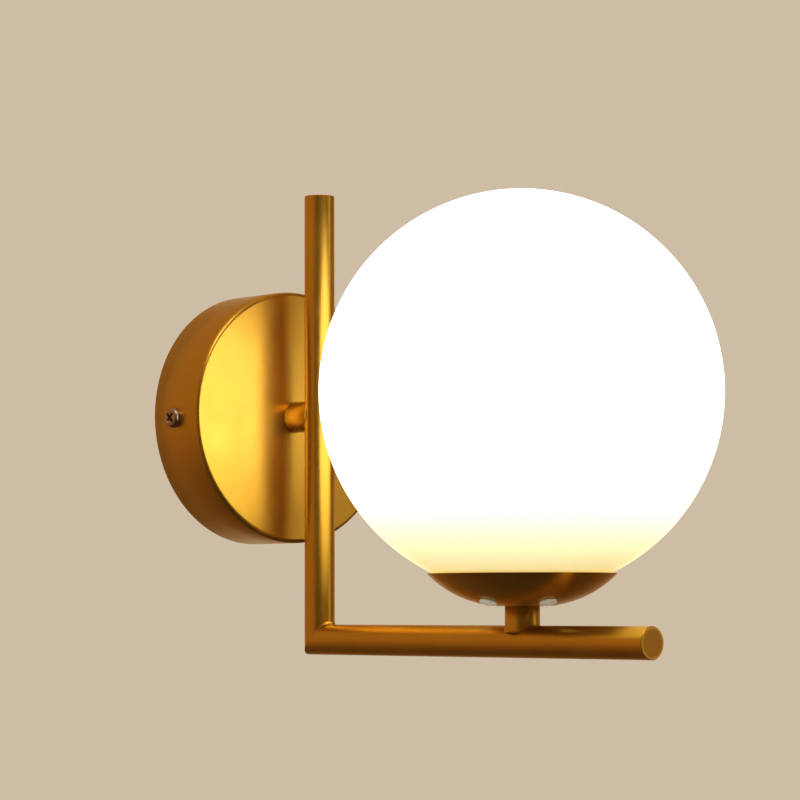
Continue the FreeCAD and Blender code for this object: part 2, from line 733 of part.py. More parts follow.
def dish_place():
    """The dish stands on the stem, turned so that its screws lie as they do on the lamp."""
    return shifted(0, -value("globe_reach"), 0).multiply(turned_about_z(-90 - value("holder_turn")))


def turned_with_dish(body):
    """Place a body as the dish is placed."""
    body.Placement = dish_place()
    bind(body, "Placement.Base.y", "-globe_reach")


def arm_angles():
    """The four arms of the spring plate and the four dish screws: two pairs, face to face."""
    half = value("screw_angle")
    return (-half, half, 180 - half, 180 + half)


def on_dish(across, inset):
    """Height of the dish's curve at a distance from its axis, inset from the outer face."""
    return "curve_z - sqrt((dish_curve - (%s))^2 - (%s - dish_flat)^2)" % (inset, across)


def on_glass(across):
    """Height just under the globe at a distance from its axis."""
    return "globe_height - sqrt((globe_radius + glass_gap)^2 - (%s)^2)" % across


def screw_places():
    """Where the four dish screws stand on the dish's outer face, square to its curve."""
    slope = math.asin((value("screw_circle") - value("dish_flat")) / value("dish_curve"))
    height = value(on_dish("screw_circle", "0"))
    upright = pointing(V(value("screw_circle"), 0, height), V(math.sin(slope), 0, -math.cos(slope)))
    return [turned_about_z(angle).multiply(upright) for angle in arm_angles()]


def drill_screw_holes(body, radius):
    """Drill a hole of this radius at each dish screw and make sure that each one cut."""
    for index, place in enumerate(screw_places()):
        doc.recompute()
        before = body.Shape.Volume
        drill = body.newObject("PartDesign::SubtractiveCylinder", "screw_hole_%d" % (index + 1))
        bind(drill, "Radius", radius)
        bind(drill, "Height", "2 * dish_shank_length")
        drill.Placement = place.multiply(shifted(0, 0, -value("dish_shank_length")))
        body.Tip = drill
        doc.recompute()
        if body.Shape.Volume > before - 1e-3:
            raise RuntimeError("a screw hole in %s cuts nothing" % body.Label)


def make_dish():
    """The dish: a flat foot and one arc up to its rim, a hole for the nipple and four for screws."""
    body = new_body("dish")
    turned_with_dish(body)
    turn(body, (
        ("nipple_radius + thread_play", "foot_z"), ("dish_flat", "foot_z"),
        ("dish_radius", "rim_z", "dish_curve"), ("dish_inner", "rim_z"),
        ("dish_flat", "floor_z", "-(dish_curve - dish_wall)"), ("nipple_radius + thread_play", "floor_z"),
    ), "spun_cup")
    drill_screw_holes(body, "dish_hole_radius")


def make_dish_screws():
    """The four screws under the dish that hold the spring plate."""
    screw = pan_screw(value("dish_shank_radius"), value("dish_shank_length"),
                      value("dish_head_radius"), value("dish_head_height"))
    base = dish_place()
    group_node("dish_screws", screw, [base.multiply(place) for place in screw_places()])


def beside_arm(along, angle, side):
    """A point on one side of an arm of the spring plate, this far along the arm, in formulas."""
    heading = "((%s) * 1 deg)" % angle
    half = "(%sclaw_width) / 2" % side
    across = "%s * cos%s - %s * sin%s" % (along, heading, half, heading)
    up = "%s * sin%s + %s * cos%s" % (along, heading, half, heading)
    return (across, up)


def make_spring_plate():
    """The pressed spring plate: its arms follow the dish and turn up as claws inside the glass."""
    body = new_body("spring_plate")
    turned_with_dish(body)
    inner_bend = "claw_bend - plate_sheet / 2"
    shoulder = "claw_z + claw_out - claw_bend"
    inner_shoulder = shoulder + " + plate_sheet * (sqrt(2) - 1)"
    turn(body, (
        ("nipple_radius + thread_play", "floor_z"), ("dish_flat", "floor_z"),
        ("claw_bend", "claw_z", "dish_curve - dish_wall"), ("claw_out", shoulder), ("claw_out", "claw_top"),
        ("claw_out - claw_lean", "claw_top + claw_tip"),
        ("claw_out - claw_lean - plate_sheet", "claw_top + claw_tip"),
        ("claw_out - plate_sheet", "claw_top"), ("claw_out - plate_sheet", inner_shoulder),
        (inner_bend, on_dish(inner_bend, "dish_wall + plate_sheet")),
        ("dish_flat", "plate_z", "-plate_curve"),
        ("nipple_radius + thread_play", "plate_z"),
    ), "pressed_form")
    gaps = new_sketch(body, "XY_Plane", "gaps")
    far = "2 * mouth_radius"
    arms = ("-screw_angle", "screw_angle", "180 - screw_angle", "180 + screw_angle", "360 - screw_angle")
    for angle, after in zip(arms, arms[1:]):
        middle = "((%s + %s) / 2 * 1 deg)" % (angle, after)
        draw(gaps, (
            beside_arm("hub_radius", angle, ""), beside_arm(far, angle, ""),
            ("2 * %s * cos%s" % (far, middle), "2 * %s * sin%s" % (far, middle)),
            beside_arm(far, after, "-"), beside_arm("hub_radius", after, "-"),
        ))
    pocket(body, gaps, THROUGH, "gap_cuts", "Symmetric")
    drill_screw_holes(body, "dish_shank_radius + thread_play")


def make_claw_sleeves():
    """The soft sleeves round the claws, where they touch the glass."""
    doc.recompute()
    plate = [body for body in nodes if body.Label == "spring_plate"][0].Shape
    outside = value("claw_out + sleeve_wall")
    inside = value("claw_out - plate_sheet - sleeve_wall")
    high = value("claw_top - sleeve_drop")
    low = high - value("sleeve_length")
    ring = cylinder(outside, low, high).cut(cylinder(inside, low, high))
    half = value("claw_width / 2 + sleeve_wall")
    pieces = []
    for angle in arm_angles():
        arm = box_between(V(0, -half, low), V(2 * outside, half, high))
        arm.Placement = turned_about_z(angle)
        pieces.append(ring.common(arm))
    sleeves = Part.makeCompound(pieces)
    sleeves.Placement = dish_place()
    solid_node("claw_sleeves", sleeves.cut(plate))


def make_seat_ring():
    """The silicone ring between the dish and the glass."""
    body = new_body("seat_ring")
    on_globe_axis(body)
    turn(body, (
        ("ring_inner", on_dish("ring_inner", "dish_wall")),
        ("ring_outer", on_dish("ring_outer", "dish_wall"), "dish_curve - dish_wall"),
        ("ring_outer", on_glass("ring_outer")),
        ("ring_inner", on_glass("ring_inner"), "-(globe_radius + glass_gap)"),
    ), "ring")


def make_globe():
    """The blown opal globe, with a ground and fire-polished mouth."""
    body = new_body("globe")
    on_globe_axis(body)
    bind(body, "Placement.Base.z", "globe_height")
    outer = "-sqrt(globe_radius^2 - mouth_radius^2)"
    inner = "-sqrt((globe_radius - glass_wall)^2 - mouth_radius^2)"
    turn(body, (
        ("mouth_radius", outer), ("0", "globe_radius", "globe_radius"), ("0", "globe_radius - glass_wall"),
        ("mouth_radius", inner, "-(globe_radius - glass_wall)"),
    ), "bubble")
    doc.recompute()
    rims = [ring_edge(body.Tip, value("mouth_radius"), value(height)) for height in (outer, inner)]
    edge_treatment(body, "Fillet", rims, "glass_lip", "polished_mouth")


# ---------------------------------------------------------------- lampholder and lamp


def make_holder():
    """The lampholder on the nipple: cap, sleeve, ceramic insert, screw shell and centre contact."""
    cap = new_body("holder_cap")
    turn(cap, (
        ("nipple_radius + thread_play", "holder_z"), ("holder_neck", "holder_z"),
        ("holder_radius", "holder_z + holder_cap_height / 2", "holder_cap_height"),
        ("holder_radius", "sleeve_z"), ("holder_radius - holder_wall", "sleeve_z"),
        ("holder_radius - holder_wall", "insert_z"), ("holder_radius - 2 * holder_wall", "insert_z"),
        ("nipple_radius + thread_play", "holder_z + nipple_stub"),
    ), "cap")
    sleeve = new_body("holder_sleeve")
    turn(sleeve, (
        ("holder_radius - holder_wall", "sleeve_z"), ("holder_radius", "sleeve_z"),
        ("holder_radius", "mouth_z"), ("holder_mouth", "mouth_z"), ("holder_mouth", "mouth_z - holder_wall"),
        ("holder_radius - holder_wall", "mouth_z - holder_wall"),
    ), "sleeve")
    top = "insert_z + insert_height"
    insert = new_body("holder_insert")
    turn(insert, (
        ("0", "insert_z"), ("holder_radius - holder_wall", "insert_z"), ("holder_radius - holder_wall", top),
        ("recess_radius", top), ("recess_radius", top + " - recess_depth"), ("0", top + " - recess_depth"),
    ), "ceramic")
    shell = new_body("holder_shell")
    shell_outer = "shell_inner + shell_sheet"
    turn(shell, (
        ("shell_inner", top), (shell_outer + " + shell_flange", top),
        (shell_outer + " + shell_flange", top + " + shell_sheet"), (shell_outer, top + " + shell_sheet"),
        (shell_outer, top + " + shell_height"), ("shell_inner", top + " + shell_height"),
    ), "shell")
    contact = new_body("holder_contact")
    turn(contact, (
        ("0", top + " - recess_depth"), ("contact_radius", top + " - recess_depth"),
        ("0", "contact_z", "(contact_radius^2 + contact_height^2) / (2 * contact_height)"),
    ), "button")
    for body in (cap, sleeve, insert, shell, contact):
        on_globe_axis(body)


def make_lamp():
    """The small round screw-cap lamp: tip, glass insulator, cap, housing, board with light sources, dome."""
    tip = new_body("lamp_tip")
    tip_top = "lamp_z + lamp_tip_height"
    turn(tip, (
        ("0", "lamp_z"),
        ("lamp_tip_radius", tip_top, "(lamp_tip_radius^2 + lamp_tip_height^2) / (2 * lamp_tip_height)"),
        ("0", tip_top),
    ), "button")
    insulator = new_body("lamp_insulator")
    foot = "lamp_cap_radius - lamp_cap_taper"
    turn(insulator, (("0", tip_top), ("lamp_tip_radius", tip_top), (foot, "cap_z"), ("0", "cap_z")), "cone")
    cap = new_body("lamp_cap")
    turn(cap, (
        ("0", "cap_z"), (foot, "cap_z"), ("lamp_cap_radius", "cap_z + lamp_cap_taper"),
        ("lamp_cap_radius", "housing_z"), ("0", "housing_z"),
    ), "cap")
    housing = new_body("lamp_housing")
    turn(housing, (
        ("lamp_cap_radius / 2", "housing_z"), ("lamp_collar", "housing_z"),
        ("lamp_rim", "dome_z", "lamp_flare"), ("lamp_rim - 2 * lamp_wall", "dome_z"),
        ("lamp_collar - 2 * lamp_wall", "housing_z + lamp_wall", "-lamp_flare"),
        ("lamp_cap_radius / 2", "housing_z + lamp_wall"),
    ), "housing")
    board = new_body("lamp_board")
    board_edge = "dome_inner - board_play"
    board_top = "dome_z + board_sheet"
    turn(board, (("0", "dome_z"), (board_edge, "dome_z"), (board_edge, board_top), ("0", board_top)), "board")
    dome = new_body("lamp_dome")
    top = "dome_z + dome_rise + lamp_radius"
    turn(dome, (
        ("dome_inner", "dome_z", "-(lamp_radius - lamp_wall)"), ("lamp_rim", "dome_z"),
        ("0", top, "lamp_radius"), ("0", top + " - lamp_wall"),
    ), "dome")
    for body in (tip, insulator, cap, housing, board, dome):
        on_globe_axis(body)


def make_lamp_diodes():
    """The square light sources, in a ring on the lamp's board."""
    half = value("diode_size") / 2
    low = value("dome_z + board_sheet")
    chip = box_between(V(-half, -half, low), V(half, half, low + value("diode_height")))
    centre = shifted(0, -value("globe_reach"), 0)
    out = shifted(value("diode_circle"), 0, 0)
    count = int(value("diode_count"))
    turns = [turned_about_z(360 * index / count) for index in range(count)]
    group_node("lamp_diodes", chip, [centre.multiply(turning).multiply(out) for turning in turns])


# ---------------------------------------------------------------- wiring in the canopy and the tubes


def make_terminal_block():
    """The terminal block on the bracket's lug: body, brass tunnels, clamp screws and fixing screw."""
    body = new_body("terminal_block")
    stand_out(body)
    outline = raised_sketch(body, "XZ_Plane", "block_outline", "-block_top")
    draw_box(outline, "-block_width / 2", "block_width / 2", "strap_sheet", "block_face")
    pad(body, outline, "block_height", "block")
    tunnels = new_sketch(body, "XZ_Plane", "tunnel_holes")
    wells = raised_sketch(body, "XY_Plane", "screw_wells", "pole_out")
    for pole in ("-pole_pitch", "0", "pole_pitch"):
        draw_circle(tunnels, pole, "pole_out", "tunnel_radius")
        for side in ("-", "+"):
            draw_circle(wells, pole, "block_middle %s clamp_circle" % side, "clamp_radius + clamp_play")
    pocket(body, tunnels, THROUGH, "tunnel_cuts", "Symmetric")
    pocket(body, wells, "block_depth", "well_cuts", back=True)
    fixing = new_sketch(body, "XY_Plane", "fixing_hole")
    draw_circle(fixing, "pole_pitch / 2", "block_middle", "dish_shank_radius + thread_play")
    pocket(body, fixing, THROUGH, "fixing_cut", "Symmetric")


def poles():
    """The three poles of the terminal block, across the canopy."""
    pitch = value("pole_pitch")
    return (-pitch, 0.0, pitch)


def make_tunnels():
    """The brass tunnels of the terminal block, with a threaded hole at each clamp screw."""
    low = value("block_low")
    high = value("block_top")
    tunnel = cylinder(value("tunnel_radius"), low, high).cut(cylinder(value("tunnel_bore"), low, high))
    for side in (-1, 1):
        drill = cylinder(value("clamp_radius + thread_play"), 0, value("2 * tunnel_radius"))
        drill.Placement = pointing(V(0, 0, value("block_middle") + side * value("clamp_circle")), V(0, -1, 0))
        tunnel = tunnel.cut(drill)
    group_node("terminal_tunnels", tunnel, [shifted(pole, -value("pole_out"), 0) for pole in poles()])


def make_terminal_screws():
    """The slotted clamp screws of the terminal block, each down on its lead, and the fixing screw."""
    face = value("block_face")
    foot = value("pole_out + lead_radius") - face
    head = -value("clamp_sink")
    reach = 2 * value("clamp_radius")
    half = value("slot_width") / 2
    slot = box_between(V(-reach, -half, head - value("slot_depth")), V(reach, half, head))
    screw = cylinder(value("clamp_radius"), foot, head).cut(slot)
    places = []
    for pole in poles():
        for side in (-1, 1):
            height = value("block_middle") + side * value("clamp_circle")
            places.append(pointing(V(pole, -face, height), V(0, -1, 0)))
    group_node("terminal_screws", screw, places)
    fixing = pan_screw(value("dish_shank_radius"), value("block_face - back_clearance"),
                       value("dish_head_radius"), value("dish_head_height"))
    spot = V(value("pole_pitch / 2"), -face, value("block_middle"))
    group_node("terminal_fixing_screw", fixing, [pointing(spot, V(0, -1, 0))])


def make_earth():
    """The earth screw on the bracket and the tag under its head."""
    sheet_top = value("tag_sheet")
    barrel_radius = value("lead_radius + tag_wall")
    ring = cylinder(value("tag_radius"), 0, sheet_top)
    barrel = cylinder(barrel_radius, value("tag_radius - tag_sheet"), value("tag_radius + tag_barrel"))
    barrel.Placement = FreeCAD.Placement(V(0, 0, barrel_radius), FreeCAD.Rotation(V(0, 0, 1), V(-1, 0, 0)))
    hole = cylinder(value("side_shank_radius + thread_play"), 0, sheet_top)
    head_room = cylinder(value("side_head_radius + back_clearance"), sheet_top, 2 * barrel_radius)
    tag = ring.fuse(barrel).cut(hole).cut(head_room)
    back = V(value("earth_across"), -value("strap_sheet"), -value("earth_drop"))
    group_node("earth_tag", tag, [pointing(back, V(0, -1, 0))])
    screw = pan_screw(value("side_shank_radius"), value("strap_sheet + tag_sheet - back_clearance"),
                      value("side_head_radius"), value("side_head_height"))
    group_node("earth_screw", screw, [pointing(back - V(0, sheet_top, 0), V(0, -1, 0))])


def bent_path(points, radii):
    """Straight runs joined by tangent arcs: one radius for each inner point."""
    edges = []
    start = points[0]
    for index, radius in enumerate(radii):
        corner = points[index + 1]
        before = (corner - points[index]).normalize()
        after = (points[index + 2] - corner).normalize()
        turning = before.getAngle(after)
        reach = radius * math.tan(turning / 2)
        first = corner - before * reach
        last = corner + after * reach
        inward = (after - before).normalize()
        centre = corner + inward * (radius / math.cos(turning / 2))
        edges.append(Part.LineSegment(start, first).toShape())
        edges.append(Part.Arc(first, centre - inward * radius, last).toShape())
        start = last
    edges.append(Part.LineSegment(start, points[-1]).toShape())
    return Part.Wire(edges)


def lead(points, radii):
    """A round insulated lead along a bent path."""
    path = bent_path(points, radii)
    heading = (points[1] - points[0]).normalize()
    section = Part.Wire([Part.makeCircle(value("lead_radius"), points[0], heading)])
    tube = path.makePipeShell([section], True, False)
    expected = math.pi * value("lead_radius") ** 2 * path.Length
    if abs(tube.Volume / expected - 1) > 0.02:
        raise RuntimeError("a lead has the wrong volume")
    print("lead %.0f mm long, bends %s mm" % (path.Length, ", ".join("%.1f" % radius for radius in radii)))
    return tube


def make_leads():
    """Live and neutral leads through the tubes to the lampholder."""
    out = -value("pole_out")
    axis = -value("axis_out")
    reach = -value("globe_reach")
    lift = value("lead_lift")
    drop = -value("arm_drop")
    bend = value("lead_bend")
    for name, side in (("live_lead", -1), ("neutral_lead", 1)):
        pole = side * value("pole_pitch")
        across = side * value("lead_offset")
        points = (
            V(pole, out, value("block_top - lead_grip")), V(pole, out, value("block_top + lead_rise")),
            V(across, out, lift), V(across, axis, lift), V(across, axis, drop), V(across, reach, drop),
            V(across, reach, value("insert_z")),
        )
        solid_node(name, lead(points, (bend, bend, bend, value("lead_corner"), bend)))


def make_earth_lead():
    """The earth lead from the middle pole to the barrel of its tag."""
    out = -value("pole_out")
    barrel_out = -value("strap_sheet + lead_radius + tag_wall")
    barrel = V(value("earth_across - tag_radius - tag_barrel"), barrel_out, -value("earth_drop"))
    points = (
        V(0, out, value("block_top - lead_grip")), V(0, out, value("block_top + lead_rise")),
        V(0, barrel.y, barrel.z), barrel,
    )
    bend = value("earth_bend")
    solid_node("earth_lead", lead(points, (bend, bend)))


# ---------------------------------------------------------------- whole lamp


def build():
    """Make every sub-part."""
    fill_sheet()
    for maker in (make_wall_bracket, make_canopy, make_canopy_screws, make_boss, make_canopy_fixings,
                  make_upright, make_arm, make_plugs, make_stem, make_stem_fixings, make_dish,
                  make_dish_screws, make_spring_plate, make_claw_sleeves, make_seat_ring, make_globe,
                  make_holder, make_lamp, make_lamp_diodes, make_terminal_block, make_tunnels,
                  make_terminal_screws, make_earth, make_leads, make_earth_lead):
        maker()
    doc.recompute()


def check():
    """Stop if any object failed or any sub-part has no valid shape."""
    for item in doc.Objects:
        states = [state for state in item.State if state in ("Invalid", "Error")]
        if states:
            raise RuntimeError("%s is %s" % (item.Label, states))
    for node in nodes:
        if node.Shape.isNull() or not node.Shape.isValid() or not node.Shape.Solids:
            raise RuntimeError("%s has no valid solid" % node.Label)


def write():
    """Write one STEP file for each sub-part."""
    os.makedirs("parts", exist_ok=True)
    for node in nodes:
        node.Shape.exportStep(os.path.join("parts", node.Label + ".step"))
        box = node.Shape.BoundBox
        print("%-22s %d solid(s) %9.1f mm3  x %.1f..%.1f  y %.1f..%.1f  z %.1f..%.1f" % (
            node.Label, len(node.Shape.Solids), node.Shape.Volume,
            box.XMin, box.XMax, box.YMin, box.YMax, box.ZMin, box.ZMax))


build()
check()
write()
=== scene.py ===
import logging
import math
from abc import ABC, abstractmethod
from dataclasses import dataclass, field
from enum import Enum, IntEnum
from typing import Callable, Iterable, Sequence

import bmesh
import bpy
from mathutils import Matrix, Vector


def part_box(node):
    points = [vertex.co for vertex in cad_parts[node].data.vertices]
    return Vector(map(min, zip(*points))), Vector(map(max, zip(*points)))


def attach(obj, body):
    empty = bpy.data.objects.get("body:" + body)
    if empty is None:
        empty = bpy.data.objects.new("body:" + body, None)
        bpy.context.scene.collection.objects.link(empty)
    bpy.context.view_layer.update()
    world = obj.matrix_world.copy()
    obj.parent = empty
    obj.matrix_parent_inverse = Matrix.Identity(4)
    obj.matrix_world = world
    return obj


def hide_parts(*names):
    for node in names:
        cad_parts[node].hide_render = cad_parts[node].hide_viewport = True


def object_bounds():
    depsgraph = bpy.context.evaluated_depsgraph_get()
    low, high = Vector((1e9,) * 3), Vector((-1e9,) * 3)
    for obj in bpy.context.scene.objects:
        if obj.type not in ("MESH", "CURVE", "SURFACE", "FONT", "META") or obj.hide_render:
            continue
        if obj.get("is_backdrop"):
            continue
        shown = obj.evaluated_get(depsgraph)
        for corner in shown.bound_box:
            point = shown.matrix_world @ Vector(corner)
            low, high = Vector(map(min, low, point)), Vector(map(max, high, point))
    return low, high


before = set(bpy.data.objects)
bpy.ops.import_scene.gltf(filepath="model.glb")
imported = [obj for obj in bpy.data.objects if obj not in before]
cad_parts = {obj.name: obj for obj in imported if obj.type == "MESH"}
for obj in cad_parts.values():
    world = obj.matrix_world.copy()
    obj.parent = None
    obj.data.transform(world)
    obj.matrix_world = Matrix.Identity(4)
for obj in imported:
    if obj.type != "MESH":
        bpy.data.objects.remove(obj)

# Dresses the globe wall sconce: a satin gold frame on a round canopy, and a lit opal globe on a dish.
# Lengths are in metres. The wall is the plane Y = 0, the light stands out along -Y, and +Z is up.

MM = 0.001
FULL_TURN = 2 * math.pi
QUARTER_TURN = math.pi / 2
SKIN = 0.1 * MM
TOUCH = 0.001 * MM
FLAT = math.radians(1)
SHARP = math.radians(40)
LOG = logging.getLogger("sconce")
Colour = tuple[float, float, float]
Point = tuple[float, ...]
Swell = Callable[[float, float], float]
Mesh = bmesh.types.BMesh
Socket = bpy.types.NodeSocket


class Axis(Enum):
    """The direction that a turned piece's own axis takes in the frame."""

    UP = Matrix.Identity(4)
    OUT = Matrix.Rotation(QUARTER_TURN, 4, "X")


class Grain(Enum):
    """How a surface's fine texture runs, as the stretch of its pattern along X, Y and Z."""

    SAND = (1.0, 1.0, 1.0)
    ALONG_X = (0.02, 1.0, 1.0)
    ROUND_Z = (1.0, 1.0, 0.04)


class Steps(IntEnum):
    """Stretches in a full turn: more for a large or fluted piece."""

    SCREW = 48
    NIPPLE = 64
    TUBE = 96
    BULB = 128
    DISH = 144
    CANOPY = 160
    GLOBE = 192
    FLUTED = 240


class Arc(IntEnum):
    """Stretches along an arc of an outline."""

    INSIDE = 4
    CROWN = 6
    EDGE = 8
    BRAZE = 12
    DISH = 28
    DOME = 48
    GLOBE = 96


class Crease(IntEnum):
    """Edges that turn by more than this many degrees stay crisp."""

    SCREW = 30
    PLAIN = 35
    TUBE = 40
    SHELL = 50
    ROLLED = 60


# ---------------------------------------------------------------- node trees


class Tree:
    """A node tree and the few moves that build it."""

    def __init__(self, tree: bpy.types.NodeTree) -> None:
        """Take up a node tree."""
        self.tree = tree

    def add(self, kind: str, **sockets: object) -> bpy.types.Node:
        """Add a node and fill its sockets.

        Args:
            kind: Blender's name for the node type.
            **sockets: Values or output sockets, by the input's name with _ for a space.

        Returns:
            The new node.
        """
        node = self.tree.nodes.new(kind)
        for name, value in sockets.items():
            self.put(node, name.replace("_", " "), value)
        return node

    def put(self, node: bpy.types.Node, name: str | int, value: object) -> None:
        """Set an input, or link an output to it.

        Args:
            node: The node with the input.
            name: The input's name or number.
            value: A plain value or an output socket.
        """
        if isinstance(value, Socket):
            self.tree.links.new(value, node.inputs[name])
        else:
            node.inputs[name].default_value = value

    def work_out(self, kind: str, operation: str, inputs: dict[str | int, object]) -> bpy.types.Node:
        """Add a node that works something out.

        Args:
            kind: Blender's name for the node type.
            operation: What it does.
            inputs: Values or output sockets, by the input's name or number.

        Returns:
            The new node.
        """
        node = self.add(kind)
        node.operation = operation
        for name, value in inputs.items():
            self.put(node, name, value)
        return node

    def spread(self, factor: Socket, low: float, high: float, start: float = 0.25, end: float = 0.75,
               soft: bool = False) -> Socket:
        """A stretch of a pattern spread between two numbers.

        Args:
            factor: The pattern.
            low: Value at the start of the stretch.
            high: Value at its end.
            start: Where the stretch starts.
            end: Where it ends.
            soft: Whether both ends run out gently.

        Returns:
            The spread value.
        """
        node = self.add("ShaderNodeMapRange", Value=factor, From_Min=start, From_Max=end, To_Min=low, To_Max=high)
        if soft:
            node.interpolation_type = "SMOOTHSTEP"
        return node.outputs[0]

    def ramp(self, factor: Socket, stops: Sequence[tuple[float, Colour]]) -> Socket:
        """Colours strung along a pattern.

        Args:
            factor: The pattern.
            stops: Each place from 0 to 1 and the colour there.

        Returns:
            The colour.
        """
        node = self.add("ShaderNodeValToRGB", Fac=factor)
        string = node.color_ramp.elements
        while len(string) < len(stops):
            string.new(1.0)
        for element, (place, colour) in zip(string, stops):
            element.position = place
            element.color = (*colour, 1)
        return node.outputs[0]

    def blend(self, factor: Socket, first: Socket, second: Socket) -> Socket:
        """Two shaders mixed.

        Args:
            factor: How much of the second is seen.
            first: One shader.
            second: The other.

        Returns:
            The mixed shader.
        """
        node = self.add("ShaderNodeMixShader", Fac=factor)
        self.put(node, 1, first)
        self.put(node, 2, second)
        return node.outputs[0]


class Surface(Tree):
    """A new material with one principled shader."""

    def __init__(self, name: str) -> None:
        """Start the material.

        Args:
            name: The material's name.
        """
        self.material = bpy.data.materials.new(name)
        self.material.use_nodes = True
        super().__init__(self.material.node_tree)
        self.shader = self.tree.nodes["Principled BSDF"]
        self.place = self.add("ShaderNodeTexCoord").outputs["Object"]

    def set(self, **sockets: object) -> None:
        """Fill the shader's own sockets, by the input's name with _ for a space."""
        for name, value in sockets.items():
            self.put(self.shader, name.replace("_", " "), value)

    def noise(self, scale: float, detail: float = 2.0, stretch: Sequence[float] = Grain.SAND.value) -> Socket:
        """A noise pattern on the object's own coordinates.

        Args:
            scale: Waves per metre.
            detail: Octaves.
            stretch: Scale along X, Y and Z.

        Returns:
            The pattern's factor.
        """
        mapping = self.add("ShaderNodeMapping", Vector=self.place, Scale=stretch)
        pattern = self.add("ShaderNodeTexNoise", Vector=mapping.outputs[0], Scale=scale, Detail=detail)
        return pattern.outputs["Fac"]

    def cloud(self, scale: float, colour: Colour, tone: float) -> Socket:
        """A colour that gets darker and lighter by a share of its tone, in waves of a scale."""
        ends = (0.3, shade(colour, 1 - tone)), (0.7, shade(colour, 1 + tone))
        return self.ramp(self.noise(scale, 3.0), ends)

    def bump(self, height: Socket, depth: float, strength: float) -> None:
        """Give the shader a fine relief of a pattern, with its depth in metres and its strength."""
        relief = self.add("ShaderNodeBump", Height=height, Distance=depth, Strength=strength)
        self.set(Normal=relief.outputs[0])


def shade(colour: Colour, factor: float) -> Colour:
    """A colour made lighter or darker, with its channels multiplied by a factor."""
    return tuple(min(channel * factor, 1.0) for channel in colour)


# ---------------------------------------------------------------- finishes


@dataclass(frozen=True)
class Finish(ABC):
    """A finish with its name and the record's material slot, which is kept with it but not read here."""

    name: str
    slot: str

    @abstractmethod
    def material(self) -> bpy.types.Material:
        """The finish as a Blender material."""


@dataclass(frozen=True)
class Metal(Finish):
    """A metal with a fine grain, cloudy roughness and slight changes of tone."""

    colour: Colour
    roughness: float
    grain: Grain = Grain.SAND
    grain_scale: float = 2600.0
    grain_depth: float = 0.004 * MM
    grain_strength: float = 0.5
    cloud_scale: float = 28.0
    wear_scale: float = 90.0
    wear: float = 0.04
    tone: float = 0.06
    metallic: float = 1.0

    def material(self) -> bpy.types.Material:
        """The finish as a Blender material."""
        nodes = Surface(self.name)
        colour = nodes.cloud(self.cloud_scale, self.colour, self.tone)
        worn = nodes.noise(self.wear_scale, 4.0)
        roughness = nodes.spread(worn, self.roughness - self.wear, self.roughness + self.wear)
        nodes.set(Metallic=self.metallic, Base_Color=colour, Roughness=roughness)
        grain = nodes.noise(self.grain_scale, 2.0, self.grain.value)
        nodes.bump(grain, self.grain_depth, self.grain_strength)
        return nodes.material


@dataclass(frozen=True)
class Moulding(Finish):
    """A plastic, rubber or ceramic with a faint orange peel."""

    colour: Colour
    roughness: float
    peel_scale: float = 700.0
    peel_depth: float = 0.02 * MM
    peel_strength: float = 0.3
    cloud_scale: float = 45.0
    wear_scale: float = 160.0
    wear: float = 0.12
    tone: float = 0.03
    coat: float = 0.0

    def material(self) -> bpy.types.Material:
        """The finish as a Blender material."""
        nodes = Surface(self.name)
        colour = nodes.cloud(self.cloud_scale, self.colour, self.tone)
        worn = nodes.noise(self.wear_scale, 3.0)
        roughness = nodes.spread(worn, self.roughness * (1 - self.wear), self.roughness * (1 + self.wear))
        nodes.set(Base_Color=colour, Roughness=roughness, Coat_Weight=self.coat)
        nodes.bump(nodes.noise(self.peel_scale), self.peel_depth, self.peel_strength)
        return nodes.material


@dataclass(frozen=True)
class Glow(Finish):
    """A lit opal surface with painted shade at its foot: cream and dim there, then brighter, and white above."""

    foot: float
    clear: float
    low: Colour = (0.68, 0.55, 0.19)
    middle: Colour = (1.0, 0.93, 0.60)
    high: Colour = (1.0, 0.95, 0.93)
    middle_place: float = 0.42
    low_power: float = 1.0
    high_power: float = 2.45
    base: Colour = (0.36, 0.34, 0.28)
    base_scale: float = 60.0
    base_shade: float = 0.97
    roughness: float = 0.16
    wave_scale: float = 40.0
    wave_depth: float = 0.03 * MM
    wave_strength: float = 0.15

    def material(self) -> bpy.types.Material:
        """The finish as a Blender material."""
        nodes = Surface(self.name)
        height = nodes.add("ShaderNodeSeparateXYZ", Vector=nodes.place).outputs["Z"]
        rise = nodes.spread(height, 0.0, 1.0, self.foot, self.clear)
        tint = nodes.ramp(rise, ((0.0, self.low), (self.middle_place, self.middle), (1.0, self.high)))
        power = nodes.spread(rise, self.low_power, self.high_power, 0.0, 1.0)
        ends = (0.3, shade(self.base, self.base_shade)), (0.7, self.base)
        colour = nodes.ramp(nodes.noise(self.base_scale), ends)
        nodes.set(Base_Color=colour, Roughness=self.roughness, Emission_Color=tint, Emission_Strength=power)
        nodes.bump(nodes.noise(self.wave_scale), self.wave_depth, self.wave_strength)
        return nodes.material


